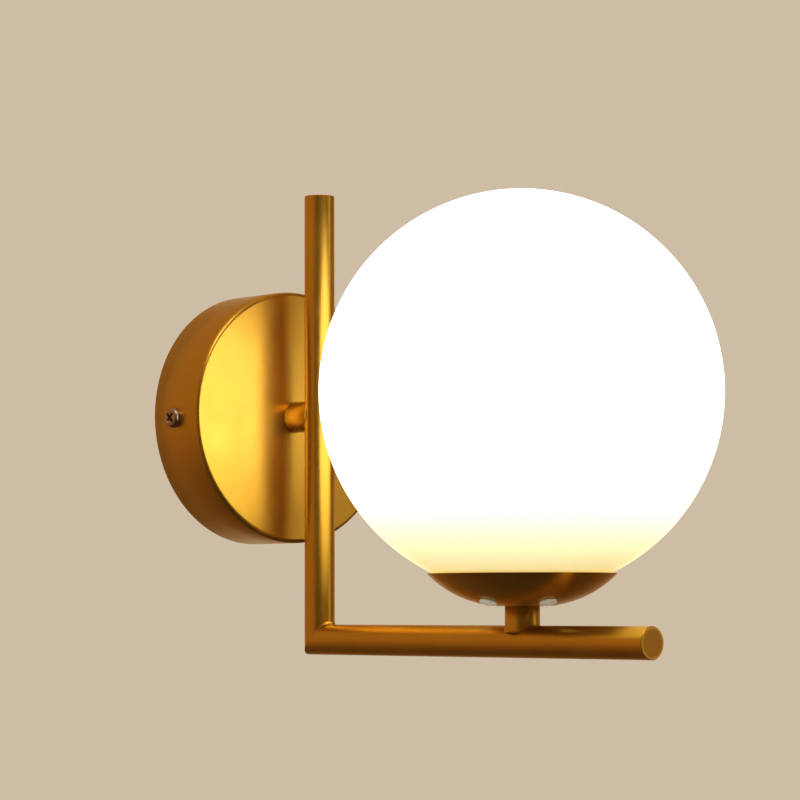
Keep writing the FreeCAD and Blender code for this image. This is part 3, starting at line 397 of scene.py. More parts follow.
@dataclass(frozen=True)
class Palette:
    """Every finish of the light, each made once."""

    gold: Metal = Metal("satin_gold", "satin_gold", (0.68, 0.385, 0.05), 0.33)
    # A darker copy of the satin gold, in the same slot, for the tubes' end discs: painted shade.
    shaded_gold: Metal = Metal("painted_shade_gold", "satin_gold", (0.50, 0.23, 0.035), 0.36)
    zinc: Metal = Metal("zinc_plate", "zinc_steel", (0.60, 0.61, 0.63), 0.34, Grain.ALONG_X, 1800.0)
    spring: Metal = Metal("spring_steel", "spring_steel", (0.50, 0.51, 0.53), 0.28, Grain.ALONG_X, 2200.0)
    # Nickel plate made paler, creamier and half diffuse so that the screw heads under the dish read bright: a
    # painted highlight.
    lit_nickel: Metal = Metal("lit_nickel_screws", "screw_steel", (0.96, 0.91, 0.75), 0.26, metallic=0.45)
    # A darker, pinkish copy of the screw steel for the canopy's side screws: painted shade with a painted warm
    # reflection.
    shaded_screw_steel: Metal = Metal("painted_shade_screws", "screw_steel", (0.46, 0.34, 0.27), 0.27)
    brass: Metal = Metal("plain_brass", "terminal_brass", (0.78, 0.60, 0.28), 0.27, Grain.ROUND_Z, 2000.0)
    tin: Metal = Metal("tinned_copper", "tinned_tag", (0.68, 0.67, 0.66), 0.36)
    aluminium: Metal = Metal("lamp_cap_aluminium", "lamp_cap_metal", (0.74, 0.75, 0.76), 0.26, Grain.ROUND_Z, 2400.0)
    solder: Metal = Metal("solder", "lamp_contact", (0.55, 0.55, 0.56), 0.38)
    silicone: Moulding = Moulding("clear_silicone", "clear_silicone", (0.74, 0.73, 0.70), 0.45)
    holder: Moulding = Moulding("holder_plastic", "holder_plastic", (0.80, 0.79, 0.76), 0.42)
    ceramic: Moulding = Moulding("glazed_ceramic", "holder_ceramic", (0.84, 0.82, 0.77), 0.22, coat=0.5)
    nylon: Moulding = Moulding("block_nylon", "block_plastic", (0.78, 0.77, 0.73), 0.5)
    housing: Moulding = Moulding("lamp_housing_plastic", "lamp_white_plastic", (0.86, 0.86, 0.85), 0.3)
    black_glass: Moulding = Moulding("black_glass", "lamp_black_glass", (0.02, 0.02, 0.022), 0.12, tone=0.2)
    lacquer: Moulding = Moulding("board_lacquer", "lamp_board_white", (0.85, 0.85, 0.84), 0.35)
    gel: Moulding = Moulding("phosphor_gel", "lamp_phosphor", (0.90, 0.66, 0.10), 0.3)
    brown: Moulding = Moulding("brown_insulation", "brown_lead", (0.13, 0.05, 0.022), 0.5, tone=0.1)
    blue: Moulding = Moulding("blue_insulation", "blue_lead", (0.015, 0.06, 0.32), 0.5, tone=0.1)
    green: Moulding = Moulding("earth_insulation", "earth_green", (0.05, 0.28, 0.05), 0.5, tone=0.1)
    made: dict[str, bpy.types.Material] = field(default_factory=dict)

    def of(self, finish: Finish) -> bpy.types.Material:
        """The material of a finish, made at its first use.

        Args:
            finish: One of the finishes.

        Returns:
            Its material.
        """
        if finish.name not in self.made:
            self.made[finish.name] = finish.material()
        return self.made[finish.name]


PALETTE = Palette()


# ---------------------------------------------------------------- mesh moves


def arc(centre: Point, radius: float, start: float, end: float, steps: int) -> list[Point]:
    """Points along an arc of an outline.

    Args:
        centre: Centre as (radius, height).
        radius: The arc's radius.
        start: First angle in radians, from the outward direction towards up.
        end: Last angle.
        steps: Number of stretches.

    Returns:
        The points, first and last included.
    """
    angles = [start + (end - start) * step / steps for step in range(steps + 1)]
    return [(centre[0] + radius * math.cos(angle), centre[1] + radius * math.sin(angle)) for angle in angles]


def run(radius: float, low: float, high: float, step: float) -> list[Point]:
    """Points up a straight side of an outline, no more than a step apart, to carry a thread or flutes."""
    count = math.ceil(abs(high - low) / step)
    return [(radius, low + (high - low) * index / count) for index in range(count + 1)]


def turn(outline: Sequence[Point], steps: int, round_off: float = 0.0, segments: int = 3) -> Mesh:
    """Spin a closed outline about Z.

    Args:
        outline: Points as (radius, height), in order round the section.
        steps: Stretches in the full turn.
        round_off: Radius that every sharp corner of the outline is rounded by.
        segments: Stretches of each rounded corner.

    Returns:
        The turned mesh.
    """
    mesh = bmesh.new()
    verts = [mesh.verts.new((radius, 0.0, height)) for radius, height in outline]
    for index, vert in enumerate(verts):
        mesh.edges.new((vert, verts[(index + 1) % len(verts)]))
    if round_off:
        corners = [vert for vert in verts if sharp_corner(vert)]
        bmesh.ops.bevel(mesh, geom=corners, offset=round_off, segments=segments, profile=0.5, material=-1,
                        affect="VERTICES", clamp_overlap=True)
    spin(mesh, FULL_TURN, steps)
    return cleaned(mesh)


def spin(mesh: Mesh, angle: float, steps: int) -> None:
    """Spin everything in a mesh about Z, and merge a full turn where it closes."""
    bmesh.ops.spin(mesh, geom=mesh.verts[:] + mesh.edges[:], cent=(0, 0, 0), axis=(0, 0, 1), dvec=(0, 0, 0),
                   angle=angle, steps=steps, use_merge=angle == FULL_TURN)


def sharp_corner(vert: bmesh.types.BMVert, on_axis: float = 0.01 * MM, least: float = math.radians(25)) -> bool:
    """Whether an outline turns sharply at a point that isn't on the axis.

    Args:
        vert: The point, between two edges.
        on_axis: Points nearer to the axis than this are on it.
        least: The least sharp turn.

    Returns:
        True at a sharp corner.
    """
    if vert.co.x < on_axis:
        return False
    first, last = (edge.other_vert(vert).co - vert.co for edge in vert.link_edges)
    return math.pi - first.angle(last) > least


def cleaned(mesh: Mesh) -> Mesh:
    """Close the seams and poles of a mesh and turn its faces outwards.

    Args:
        mesh: The mesh.

    Returns:
        The same mesh.
    """
    bmesh.ops.remove_doubles(mesh, verts=mesh.verts[:], dist=TOUCH)
    bmesh.ops.dissolve_degenerate(mesh, dist=TOUCH / 2, edges=mesh.edges[:])
    bmesh.ops.recalc_face_normals(mesh, faces=mesh.faces[:])
    return mesh


def cut_away(mesh: Mesh, point: Vector, away: Vector) -> None:
    """Cut off one side of a closed mesh with a plane and close the cut.

    Args:
        mesh: The mesh.
        point: A point on the plane.
        away: The plane's normal, towards the side that goes.
    """
    bmesh.ops.bisect_plane(mesh, geom=mesh.verts[:] + mesh.edges[:] + mesh.faces[:], dist=TOUCH / 10,
                           plane_co=point, plane_no=away, clear_outer=True)
    rims = [edge for edge in mesh.edges if edge.is_boundary]
    if loops(rims) == 1:
        bmesh.ops.edgeloop_fill(mesh, edges=rims)
    else:
        bmesh.ops.bridge_loops(mesh, edges=rims)


def loops(rims: Iterable[bmesh.types.BMEdge]) -> int:
    """The number of separate loops that some edges make.

    Args:
        rims: The edges.

    Returns:
        How many loops there are.
    """
    left = set(rims)
    count = 0
    while left:
        count += 1
        queue = [left.pop()]
        while queue:
            edge = queue.pop()
            near = {other for vert in edge.verts for other in vert.link_edges} & left
            left -= near
            queue.extend(near)
    return count


def ripple(mesh: Mesh, where: Callable[[float, float], bool], swell: Swell) -> None:
    """Move the points of a turned mesh in or out from its axis.

    Args:
        mesh: The mesh, still about Z.
        where: Picks points by (radius, height).
        swell: Change of radius by (angle, height).
    """
    for vert in mesh.verts:
        radius = math.hypot(vert.co.x, vert.co.y)
        if radius > SKIN and where(radius, vert.co.z):
            grown = (radius + swell(math.atan2(vert.co.y, vert.co.x), vert.co.z)) / radius
            vert.co.x *= grown
            vert.co.y *= grown


def outside(radius: float) -> Callable[[float, float], bool]:
    """A function of (radius, height) that picks the points on a turned piece's outer side."""
    return lambda reach, height: reach > radius - SKIN


@dataclass(frozen=True)
class Thread:
    """A rolled thread, whose valleys go in, or out where the depth is negative."""

    pitch: float
    depth: float

    def swell(self, low: float, high: float) -> Swell:
        """The change of radius that it makes, fading out at both ends.

        Args:
            low: Height where it starts.
            high: Height where it ends.

        Returns:
            A function of (angle, height).
        """
        def change(angle: float, height: float) -> float:
            """The change of radius at one point."""
            fade = max(0.0, min(1.0, (height - low) / self.pitch, (high - height) / self.pitch))
            return -self.depth * fade * (0.5 - 0.5 * math.cos(FULL_TURN * height / self.pitch - angle))
        return change


@dataclass(frozen=True)
class Flutes:
    """A ring of grip flutes with soft ends."""

    count: int
    depth: float
    fade: float = 1.0 * MM
    bluntness: float = 0.5

    def swell(self, low: float, high: float) -> Swell:
        """The change of radius that they make.

        Args:
            low: Height where they start.
            high: Height where they end.

        Returns:
            A function of (angle, height).
        """
        def change(angle: float, height: float) -> float:
            """The change of radius at one point."""
            fade = max(0.0, min(1.0, (height - low) / self.fade, (high - height) / self.fade))
            return -self.depth * fade * max(0.0, math.cos(self.count * angle)) ** self.bluntness
        return change


@dataclass(frozen=True)
class CrossRecess:
    """A tapered cross for a driver, with four arms."""

    reach: float
    width: float
    depth: float
    taper: float = 0.55

    def sink(self, mesh: Mesh, height: float) -> None:
        """Sink the cross into the flat top of a screw's head.

        Args:
            mesh: The turned screw, with its head up.
            height: Height of the flat top.
        """
        flat = [face for face in mesh.faces if face.calc_center_median().z > height - TOUCH]
        bmesh.ops.dissolve_faces(mesh, faces=flat, use_verts=True)
        lid = max(mesh.faces, key=lambda face: face.calc_center_median().z)
        rim = list(lid.edges)
        bmesh.ops.delete(mesh, geom=[lid], context="FACES_ONLY")
        half = self.width / 2
        turns = [Matrix.Rotation(math.radians(angle), 3, "Z") for angle in (45, 135, 225, 315)]
        corners = [mesh.verts.new(quarter @ Vector((*spot, height)))
                   for quarter in turns for spot in ((self.reach, -half), (self.reach, half), (half, half))]
        sides = [mesh.edges.new((corner, corners[(index + 1) % len(corners)]))
                 for index, corner in enumerate(corners)]
        bmesh.ops.triangle_fill(mesh, use_beauty=True, edges=rim + sides, normal=(0, 0, 1))
        sunk = bmesh.ops.extrude_edge_only(mesh, edges=sides)["geom"]
        foot = {vert for vert in sunk if isinstance(vert, bmesh.types.BMVert)}
        for vert in foot:
            vert.co = Vector((vert.co.x * self.taper, vert.co.y * self.taper, height - self.depth))
        floor = [edge for edge in sunk if isinstance(edge, bmesh.types.BMEdge) and foot.issuperset(edge.verts)]
        bmesh.ops.edgeloop_fill(mesh, edges=floor)


def half_size(node: str) -> float:
    """Half of a CAD node's width across X."""
    low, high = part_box(node)
    return (high.x - low.x) / 2


def about_globe(height: float = 0.0) -> Matrix:
    """The move from the origin to the globe's axis.

    Args:
        height: How far up it goes too.

    Returns:
        The move.
    """
    low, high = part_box("globe")
    middle = (low + high) / 2
    return Matrix.Translation((middle.x, middle.y, height))


@dataclass
class SubAssembly:
    """Pieces that ride on one body."""

    body: str = "fixture"
    made: list[str] = field(default_factory=list)

    def add(self, name: str, mesh: Mesh, finish: Finish, replaced: Iterable[str] = (),
            place: Matrix = Axis.UP.value, crease: Crease = Crease.PLAIN) -> bpy.types.Object:
        """Make a piece of a mesh, at its place in the frame.

        Args:
            name: The piece's name.
            mesh: Its mesh, which is used up.
            finish: Its finish.
            replaced: CAD nodes that it stands for.
            place: Where its mesh goes.
            crease: Which edges stay crisp.

        Returns:
            The piece.
        """
        mesh.transform(place)
        data = bpy.data.meshes.new(name)
        mesh.to_mesh(data)
        mesh.free()
        data.shade_smooth()
        data.set_sharp_from_angle(angle=math.radians(crease))
        data.materials.append(PALETTE.of(finish))
        piece = bpy.data.objects.new(name, data)
        bpy.context.scene.collection.objects.link(piece)
        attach(piece, self.body)
        if replaced:
            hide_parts(*replaced)
        self.made.append(name)
        return piece

    def refine(self, node: str, name: str, finish: Finish, soften: float) -> None:
        """Stand for a small CAD node with a merged copy whose edges are softened.

        Args:
            node: The CAD node.
            name: The piece's name.
            finish: Its finish.
            soften: Width of the softened edges, in millimetres.
        """
        mesh = bmesh.new()
        mesh.from_mesh(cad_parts[node].data)
        bmesh.ops.remove_doubles(mesh, verts=mesh.verts[:], dist=2 * TOUCH)
        bmesh.ops.dissolve_limit(mesh, angle_limit=FLAT, use_dissolve_boundaries=False, verts=mesh.verts[:],
                                 edges=mesh.edges[:], delimit={"NORMAL"})
        sharp = [edge for edge in mesh.edges if len(edge.link_faces) == 2 and edge.calc_face_angle() > SHARP]
        bmesh.ops.bevel(mesh, geom=sharp, offset=soften * MM, segments=2, profile=0.5, material=-1,
                        affect="EDGES", clamp_overlap=True)
        piece = self.add(name, mesh, finish, (node,))
        piece.modifiers.new("even_shading", "WEIGHTED_NORMAL").keep_sharp = True

    def dress(self, node: str, finish: Finish) -> None:
        """Give a CAD node that stays a finish of its own.

        Args:
            node: The CAD node.
            finish: Its finish.
        """
        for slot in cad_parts[node].material_slots:
            slot.material = PALETTE.of(finish)
        self.made.append(node)

    def report(self) -> None:
        """Log the pieces made."""
        for name in self.made:
            LOG.info("%s: %s", type(self).__name__, name)


@dataclass
class Clamp(SubAssembly):
    """Pieces held together by a hollow threaded nipple with a washer and a nut."""

    nipple_wall: float = 1.0 * MM
    nipple_edge: float = 0.5 * MM
    nipple_step: float = 0.125 * MM
    nipple_thread: Thread = Thread(1.0 * MM, 0.45 * MM)

    def nipple(self, node: str, name: str, place: Matrix, low: float, high: float) -> None:
        """Make the nipple.

        Args:
            node: The CAD node.
            name: The piece's name.
            place: Where its mesh goes.
            low: Height of its low end on its own axis.
            high: Height of its high end.
        """
        radius = half_size(node)
        bore = radius - self.nipple_wall
        edge = self.nipple_edge
        outline = [(bore, low), (radius - edge, low)]
        outline += run(radius, low + edge, high - edge, self.nipple_step)
        outline += [(radius - edge, high), (bore, high)]
        mesh = turn(outline, Steps.NIPPLE)
        ripple(mesh, outside(radius), self.nipple_thread.swell(low, high))
        self.add(name, mesh, PALETTE.zinc, (node,), place, Crease.ROLLED)


# ---------------------------------------------------------------- sub-assemblies


@dataclass
class Canopy(SubAssembly):
    """The spun cup on the wall and the screws in its side."""

    edge: float = 1.8 * MM
    wall: float = 1.2 * MM
    rim: float = 0.25 * MM
    head: float = 4.0 * MM
    crown: float = 1.5 * MM
    shank: float = 2.0 * MM
    shank_step: float = 0.1 * MM
    shank_clear: float = 0.05 * MM
    sink: float = 0.35 * MM
    thread: Thread = Thread(0.7 * MM, 0.35 * MM)
    cross: CrossRecess = CrossRecess(2.35 * MM, 1.15 * MM, 1.6 * MM)

    def build(self) -> None:
        """Make the cup and its screws."""
        radius = half_size("canopy")
        depth = -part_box("canopy")[0].y
        hole = half_size("canopy_nipple")
        bend = (radius - self.edge, depth - self.edge)
        outline = [(radius - self.wall, 0.0), (radius - self.rim, 0.0), (radius, self.rim)]
        outline += arc(bend, self.edge, 0, QUARTER_TURN, Arc.EDGE)
        outline += [(hole, depth), (hole, depth - self.wall)]
        outline += arc(bend, self.edge - self.wall, QUARTER_TURN, 0, Arc.INSIDE)
        cup = turn(outline, Steps.CANOPY)
        self.add("canopy_cup", cup, PALETTE.gold, ("canopy",), Axis.OUT.value, Crease.ROLLED)
        self.side_screws(radius)

    def side_screws(self, radius: float) -> None:
        """Make the two pan-head screws in the cup's side.

        Args:
            radius: The cup's outside.
        """
        low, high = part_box("canopy_screws")
        middle = (low + high) / 2
        base = radius - self.sink
        top = high.x - base
        tip = min(abs(vert.co.x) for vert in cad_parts["canopy_screws"].data.vertices) - base
        outline = [(0.0, tip)] + run(self.shank, tip, 0.0, self.shank_step) + [(self.head, 0.0)]
        outline += arc((self.head - self.crown, top - self.crown), self.crown, 0, QUARTER_TURN, Arc.CROWN)
        outline += [(0.0, top)]
        pair = bmesh.new()
        for lean in (-1, 1):
            screw = turn(outline, Steps.SCREW)
            ripple(screw, lambda reach, height: height < -self.shank_clear, self.thread.swell(tip, 0.0))
            self.cross.sink(screw, top)
            lay = Matrix.Rotation(lean * QUARTER_TURN, 4, "Y")
            screw.transform(Matrix.Translation((lean * base, middle.y, middle.z)) @ lay)
            part = bpy.data.meshes.new("screw")
            screw.to_mesh(part)
            screw.free()
            pair.from_mesh(part)
            bpy.data.meshes.remove(part)
        self.add("canopy_side_screws", cleaned(pair), PALETTE.shaded_screw_steel, ("canopy_screws",), crease=Crease.SCREW)


@dataclass
class WallFixing(Clamp):
    """What the canopy hides: the bracket, the frame's clamp, the terminal block and the earth screw."""

    def build(self) -> None:
        """Dress the bracket and everything on it."""
        self.refine("wall_bracket", "wall_strap", PALETTE.zinc, 0.25)
        self.refine("canopy_washer", "toothed_washer", PALETTE.zinc, 0.08)
        self.refine("canopy_nut", "clamp_nut", PALETTE.zinc, 0.15)
        low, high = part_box("canopy_nipple")
        self.nipple("canopy_nipple", "clamp_nipple", Axis.OUT.value, -high.y, -low.y)
        self.refine("terminal_block", "wire_block", PALETTE.nylon, 0.35)
        self.refine("terminal_tunnels", "wire_tunnels", PALETTE.brass, 0.1)
        self.refine("terminal_screws", "wire_clamps", PALETTE.brass, 0.06)
        self.refine("terminal_fixing_screw", "block_screw", PALETTE.lit_nickel, 0.1)
        self.refine("earth_tag", "earth_ring", PALETTE.tin, 0.08)
        self.refine("earth_screw", "earth_pan_screw", PALETTE.lit_nickel, 0.1)


@dataclass
class Wiring(SubAssembly):
    """The insulated leads."""

    def build(self) -> None:
        """Dress the leads."""
        self.dress("live_lead", PALETTE.brown)
        self.dress("neutral_lead", PALETTE.blue)
        self.dress("earth_lead", PALETTE.green)


@dataclass
class TubeFrame(SubAssembly):
    """The upright, the arm, their mitred corner and end discs, and the two spacers."""

    wall: float = 1.0 * MM
    rim: float = 0.2 * MM
    nose: float = 0.2 * MM
    bead: float = 1.5 * MM
    bead_sink: float = 0.3 * MM
    bead_fade: float = 2.5
    bead_sides: int = 16
    bead_steps: int = 64
    braze: float = 0.35 * MM
    braze_sink: float = 0.15 * MM
    press: float = 0.02 * MM
    depth: float = 3.0 * MM
    boss_wrap: float = 2.1 * MM
    stem_wrap: float = 3.7 * MM

    def build(self) -> None:
        """Make the tubes, the weld in their corner, the end discs and the spacers."""
        low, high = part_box("upright_tube")
        radius = half_size("upright_tube")
        corner = Vector((0.0, (low.y + high.y) / 2, low.z + radius))
        rise, reach = high.z - corner.z, corner.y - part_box("arm_tube")[0].y
        upright = Matrix.Translation(corner)
        arm = upright @ Axis.OUT.value
        mitre = Vector((0, 1, 1))
        self.tube("upright_tube", "upright_bar", radius, rise, upright, corner, -mitre)
        self.tube("arm_tube", "arm_bar", radius, reach, arm, corner, mitre)
        self.corner_bead(radius, corner)
        self.plug("top_plug", "upright_plug", rise, upright)
        self.plug("end_plug", "arm_plug", reach, arm)
        boss = Matrix.Translation((0.0, corner.y, 0.0)) @ Matrix.Rotation(-QUARTER_TURN, 4, "X")
        self.spacer("boss", "canopy_spacer", radius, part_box("boss")[1].y - corner.y, self.boss_wrap, boss)
        stem = about_globe(corner.z)
        self.spacer("stem", "dish_spacer", radius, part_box("stem")[1].z - corner.z, self.stem_wrap, stem)

    def plug(self, node: str, name: str, top: float, place: Matrix) -> None:
        """Make the disc that closes a tube's end, flush after grinding, in a darker gold that is painted shade.

        Args:
            node: The CAD node.
            name: The piece's name.
            top: From the frame's corner to the tube's end.
            place: Lays the mesh's own Z along the tube.
        """
        size = half_size(node) + self.press
        outline = [(0.0, top - self.depth), (size, top - self.depth), (size, top), (0.0, top)]
        self.add(name, turn(outline, Steps.TUBE), PALETTE.shaded_gold, (node,), place)

    def spacer(self, node: str, name: str, radius: float, top: float, wrap: float, place: Matrix) -> None:
        """Make a spacer whose foot is coped round a tube, and the fine brazed line round the foot.

        Args:
            node: The CAD node.
            name: The piece's name.
            radius: The tube's outside.
            top: From the tube's middle line to the spacer's far end.
            wrap: How near the foot comes to the tube's middle line.
            place: Puts the origin on the tube's middle line and the mesh's own Z along the spacer.
        """
        ring = half_size(node)
        bore = half_size("stem_nipple")
        outline = [(bore, 0.0), (ring, 0.0), (ring, top - self.rim), (ring - self.rim, top), (bore, top)]
        post = turn(outline, Steps.TUBE)
        line = turn(arc((ring - self.braze_sink, 0.0), self.braze, 0, FULL_TURN, Arc.BRAZE)[:-1], Steps.TUBE)
        for mesh in (post, line):
            for vert in mesh.verts:
                if vert.co.z < top / 2:
                    vert.co.z += math.sqrt(max(radius ** 2 - vert.co.x ** 2, wrap ** 2))
        self.add(name, post, PALETTE.gold, (node,), place, Crease.SHELL)
        self.add(f"{name}_braze", line, PALETTE.gold, (), place, Crease.ROLLED)

    def tube(self, node: str, name: str, radius: float, length: float, place: Matrix, corner: Vector,
             away: Vector) -> None:
        """Make one tube, mitred at the frame's corner, with the corner's point taken off by grinding.

        Args:
            node: The CAD node.
            name: The piece's name.
            radius: The tube's outside.
            length: From the corner to its far end.
            place: Lays the tube's own Z along it.
            corner: The frame's corner on the tubes' middle lines.
            away: Points from the tube's side of the mitre to the other side.
        """
        bore = radius - self.wall
        outline = [(bore, -2 * radius), (radius, -2 * radius), (radius, length - self.rim),
                   (radius - self.rim, length), (bore, length)]
        mesh = turn(outline, Steps.TUBE)
        mesh.transform(place)
        cut_away(mesh, corner, away)
        outwards = Vector((0, 1, -1)).normalized()
        cut_away(mesh, corner + outwards * (radius * math.sqrt(2) - self.nose), outwards)
        self.add(name, cleaned(mesh), PALETTE.gold, (node,), crease=Crease.TUBE)

    def corner_bead(self, radius: float, corner: Vector) -> None:
        """Make the weld in the inside of the mitre, which fades out at the tubes' sides.

        Args:
            radius: The tubes' outside.
            corner: The frame's corner on the tubes' middle lines.
        """
        ring = radius - self.bead_sink
        mesh = bmesh.new()
        bmesh.ops.create_circle(mesh, segments=self.bead_sides, radius=self.bead)
        mesh.transform(Matrix.Translation((ring, 0, 0)) @ Axis.OUT.value)
        spin(mesh, math.pi, self.bead_steps)
        for vert in mesh.verts:
            angle = math.atan2(vert.co.y, vert.co.x)
            middle = Vector((math.cos(angle), math.sin(angle), 0)) * ring
            vert.co = middle + (vert.co - middle) * max(0.0, math.sin(angle)) ** self.bead_fade
        lean = Matrix.Rotation(math.radians(135), 4, "X") @ Matrix.Diagonal((1, math.sqrt(2), 1, 1))
        place = Matrix.Translation(corner) @ lean
        self.add("mitre_bead", cleaned(mesh), PALETTE.gold, (), place, Crease.ROLLED)


@dataclass
class GlobeSeat(Clamp):
    """The dish with its screws, the seat ring, the spring plate, its sleeves and their clamp."""

    wall: float = 1.0 * MM
    flat: float = 6.5 * MM
    edge: float = 0.3 * MM

    def build(self) -> None:
        """Make the dish and dress what it carries."""
        low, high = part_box("dish")
        rim = (high.x - low.x) / 2
        depth = high.z - low.z
        curve = ((rim - self.flat) ** 2 + depth ** 2) / (2 * depth)
        inner = curve - self.wall
        lean = math.atan2(rim - self.flat, curve - depth)
        inner_lean = math.acos((curve - depth) / inner)
        hole = half_size("stem_nipple")
        outline = [(hole, 0.0)]
        outline += arc((self.flat, curve), curve, -QUARTER_TURN, lean - QUARTER_TURN, Arc.DISH)
        outline += arc((self.flat, curve), inner, inner_lean - QUARTER_TURN, -QUARTER_TURN, Arc.DISH)
        outline += [(hole, self.wall)]
        cup = turn(outline, Steps.DISH, self.edge)
        self.add("dish_cup", cup, PALETTE.gold, ("dish",), about_globe(low.z), Crease.SHELL)
        self.refine("dish_screws", "dish_pan_screws", PALETTE.lit_nickel, 0.1)
        self.refine("seat_ring", "glass_seat_ring", PALETTE.silicone, 0.3)
        self.refine("spring_plate", "claw_plate", PALETTE.spring, 0.15)
        self.refine("claw_sleeves", "claw_pads", PALETTE.silicone, 0.15)
        self.refine("stem_washer", "dish_washer", PALETTE.zinc, 0.08)
        self.refine("stem_nut", "dish_nut", PALETTE.zinc, 0.15)
        foot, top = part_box("stem_nipple")
        self.nipple("stem_nipple", "dish_nipple", about_globe(), foot.z, top.z)


@dataclass
class Globe(SubAssembly):
    """The blown opal glass."""

    body: str = "globe"
    wall: float = 2.5 * MM
    mouth: float = 26.0 * MM
    lip: float = 0.9 * MM
    lip_segments: int = 5
    # Heights above the globe's bottom where its painted shade is deepest and where it ends.
    painted_shade_foot: float = 4.0 * MM
    painted_shade_top: float = 58.0 * MM

    def build(self) -> None:
        """Make the glass."""
        low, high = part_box("globe")
        radius = half_size("globe")
        inside = radius - self.wall
        outline = arc((0.0, 0.0), radius, -math.acos(self.mouth / radius), QUARTER_TURN, Arc.GLOBE)
        outline += arc((0.0, 0.0), inside, QUARTER_TURN, -math.acos(self.mouth / inside), Arc.GLOBE)
        ball = turn(outline, Steps.GLOBE, self.lip, self.lip_segments)
        # The cream, dim glow at the globe's foot is painted shade, where the lampholder and the dish keep the lamp's
        # light off the glass.
        glass = Glow("opal_glass", "opal_glass", low.z + self.painted_shade_foot, low.z + self.painted_shade_top)
        self.add("opal_globe", ball, glass, ("globe",), about_globe(high.z - radius), Crease.ROLLED)


@dataclass
class Lampholder(SubAssembly):
    """The screw lampholder on the dish's nipple."""

    sheet: float = 0.4 * MM
    wall: float = 1.5 * MM
    mouth: float = 9.2 * MM
    edge: float = 0.4 * MM
    sleeve_step: float = 1.0 * MM
    grip: Flutes = Flutes(30, 0.4 * MM)
    grip_low: float = 2.0 * MM
    grip_high: float = 9.0 * MM
    play: float = 0.35 * MM
    shell_step: float = 0.35 * MM
    thread: Thread = Thread(2.8 * MM, -0.5 * MM)
    thread_low: float = 1.5 * MM
    thread_high: float = 0.5 * MM

    def build(self) -> None:
        """Make the sleeve and the screw shell and dress the rest."""
        self.refine("holder_cap", "holder_foot", PALETTE.holder, 0.3)
        self.refine("holder_insert", "holder_core", PALETTE.ceramic, 0.2)
        self.refine("holder_contact", "holder_button", PALETTE.brass, 0.05)
        self.sleeve()
        self.shell()

    def sleeve(self) -> None:
        """Make the fluted sleeve with its turned-in mouth."""
        low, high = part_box("holder_sleeve")
        radius = half_size("holder_sleeve")
        inside = radius - self.wall
        outline = [(inside, low.z), (radius - self.edge, low.z)]
        outline += run(radius, low.z + self.edge, high.z - self.edge, self.sleeve_step)
        outline += [(radius - self.edge, high.z), (self.mouth, high.z), (self.mouth, high.z - self.wall),
                    (inside, high.z - self.wall)]
        mesh = turn(outline, Steps.FLUTED)
        ripple(mesh, outside(radius), self.grip.swell(low.z + self.grip_low, high.z - self.grip_high))
        self.add("holder_skirt", mesh, PALETTE.holder, ("holder_sleeve",), about_globe(), Crease.SHELL)

    def shell(self) -> None:
        """Make the rolled screw shell."""
        low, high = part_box("holder_shell")
        flange = half_size("holder_shell")
        inner = half_size("lamp_cap") + self.play
        outer = inner + self.sheet
        outline = [(inner, low.z), (flange, low.z), (flange, low.z + self.sheet)]
        outline += run(outer, low.z + self.sheet, high.z, self.shell_step)
        outline += run(inner, high.z, low.z, self.shell_step)[:-1]
        mesh = turn(outline, Steps.TUBE)
        rolled = self.thread.swell(low.z + self.thread_low, high.z - self.thread_high)
        ripple(mesh, lambda reach, height: reach < outer + SKIN, rolled)
        self.add("holder_screw_shell", mesh, PALETTE.brass, ("holder_shell",), about_globe(), Crease.ROLLED)


@dataclass
class Lamp(SubAssembly):
    """The small round screw lamp."""

    body: str = "lamp"
    taper: float = 1.2 * MM
    wall: float = 1.0 * MM
    cap_step: float = 0.35 * MM
    thread: Thread = Thread(2.8 * MM, 0.55 * MM)
    thread_low: float = 1.5 * MM
    thread_high: float = 4.0 * MM
    glow_drop: float = 10.0 * MM

    def build(self) -> None:
        """Make the cap and the dome and dress the rest."""
        self.refine("lamp_tip", "lamp_button", PALETTE.solder, 0.05)
        self.refine("lamp_insulator", "lamp_glass_foot", PALETTE.black_glass, 0.08)
        self.dress("lamp_housing", PALETTE.housing)
        self.refine("lamp_board", "lamp_disc", PALETTE.lacquer, 0.1)
        self.refine("lamp_diodes", "lamp_chips", PALETTE.gel, 0.1)
        self.cap()
        self.dome()

    def cap(self) -> None:
        """Make the rolled screw cap."""
        low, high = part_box("lamp_cap")
        radius = half_size("lamp_cap")
        outline = [(0.0, low.z), (radius - self.taper, low.z)]
        outline += run(radius, low.z + self.taper, high.z, self.cap_step)
        outline += [(0.0, high.z)]
        mesh = turn(outline, Steps.TUBE)
        rolled = self.thread.swell(low.z + self.thread_low, high.z - self.thread_high)
        ripple(mesh, outside(radius), rolled)
        self.add("lamp_screw_cap", mesh, PALETTE.aluminium, ("lamp_cap",), about_globe(), Crease.ROLLED)

    def dome(self) -> None:
        """Make the lit dome."""
        low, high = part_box("lamp_dome")
        radius = half_size("lamp_dome")
        inside = radius - self.wall
        centre = high.z - radius
        foot = low.z - centre
        outline = arc((0.0, centre), radius, math.asin(foot / radius), QUARTER_TURN, Arc.DOME)
        outline += arc((0.0, centre), inside, QUARTER_TURN, math.asin(foot / inside), Arc.DOME)
        glow = Glow("lamp_diffuser", "lamp_diffuser", low.z - self.glow_drop, low.z)
        mesh = turn(outline, Steps.BULB)
        self.add("lamp_bulb", mesh, glow, ("lamp_dome",), about_globe(), Crease.ROLLED)


# ---------------------------------------------------------------- studio


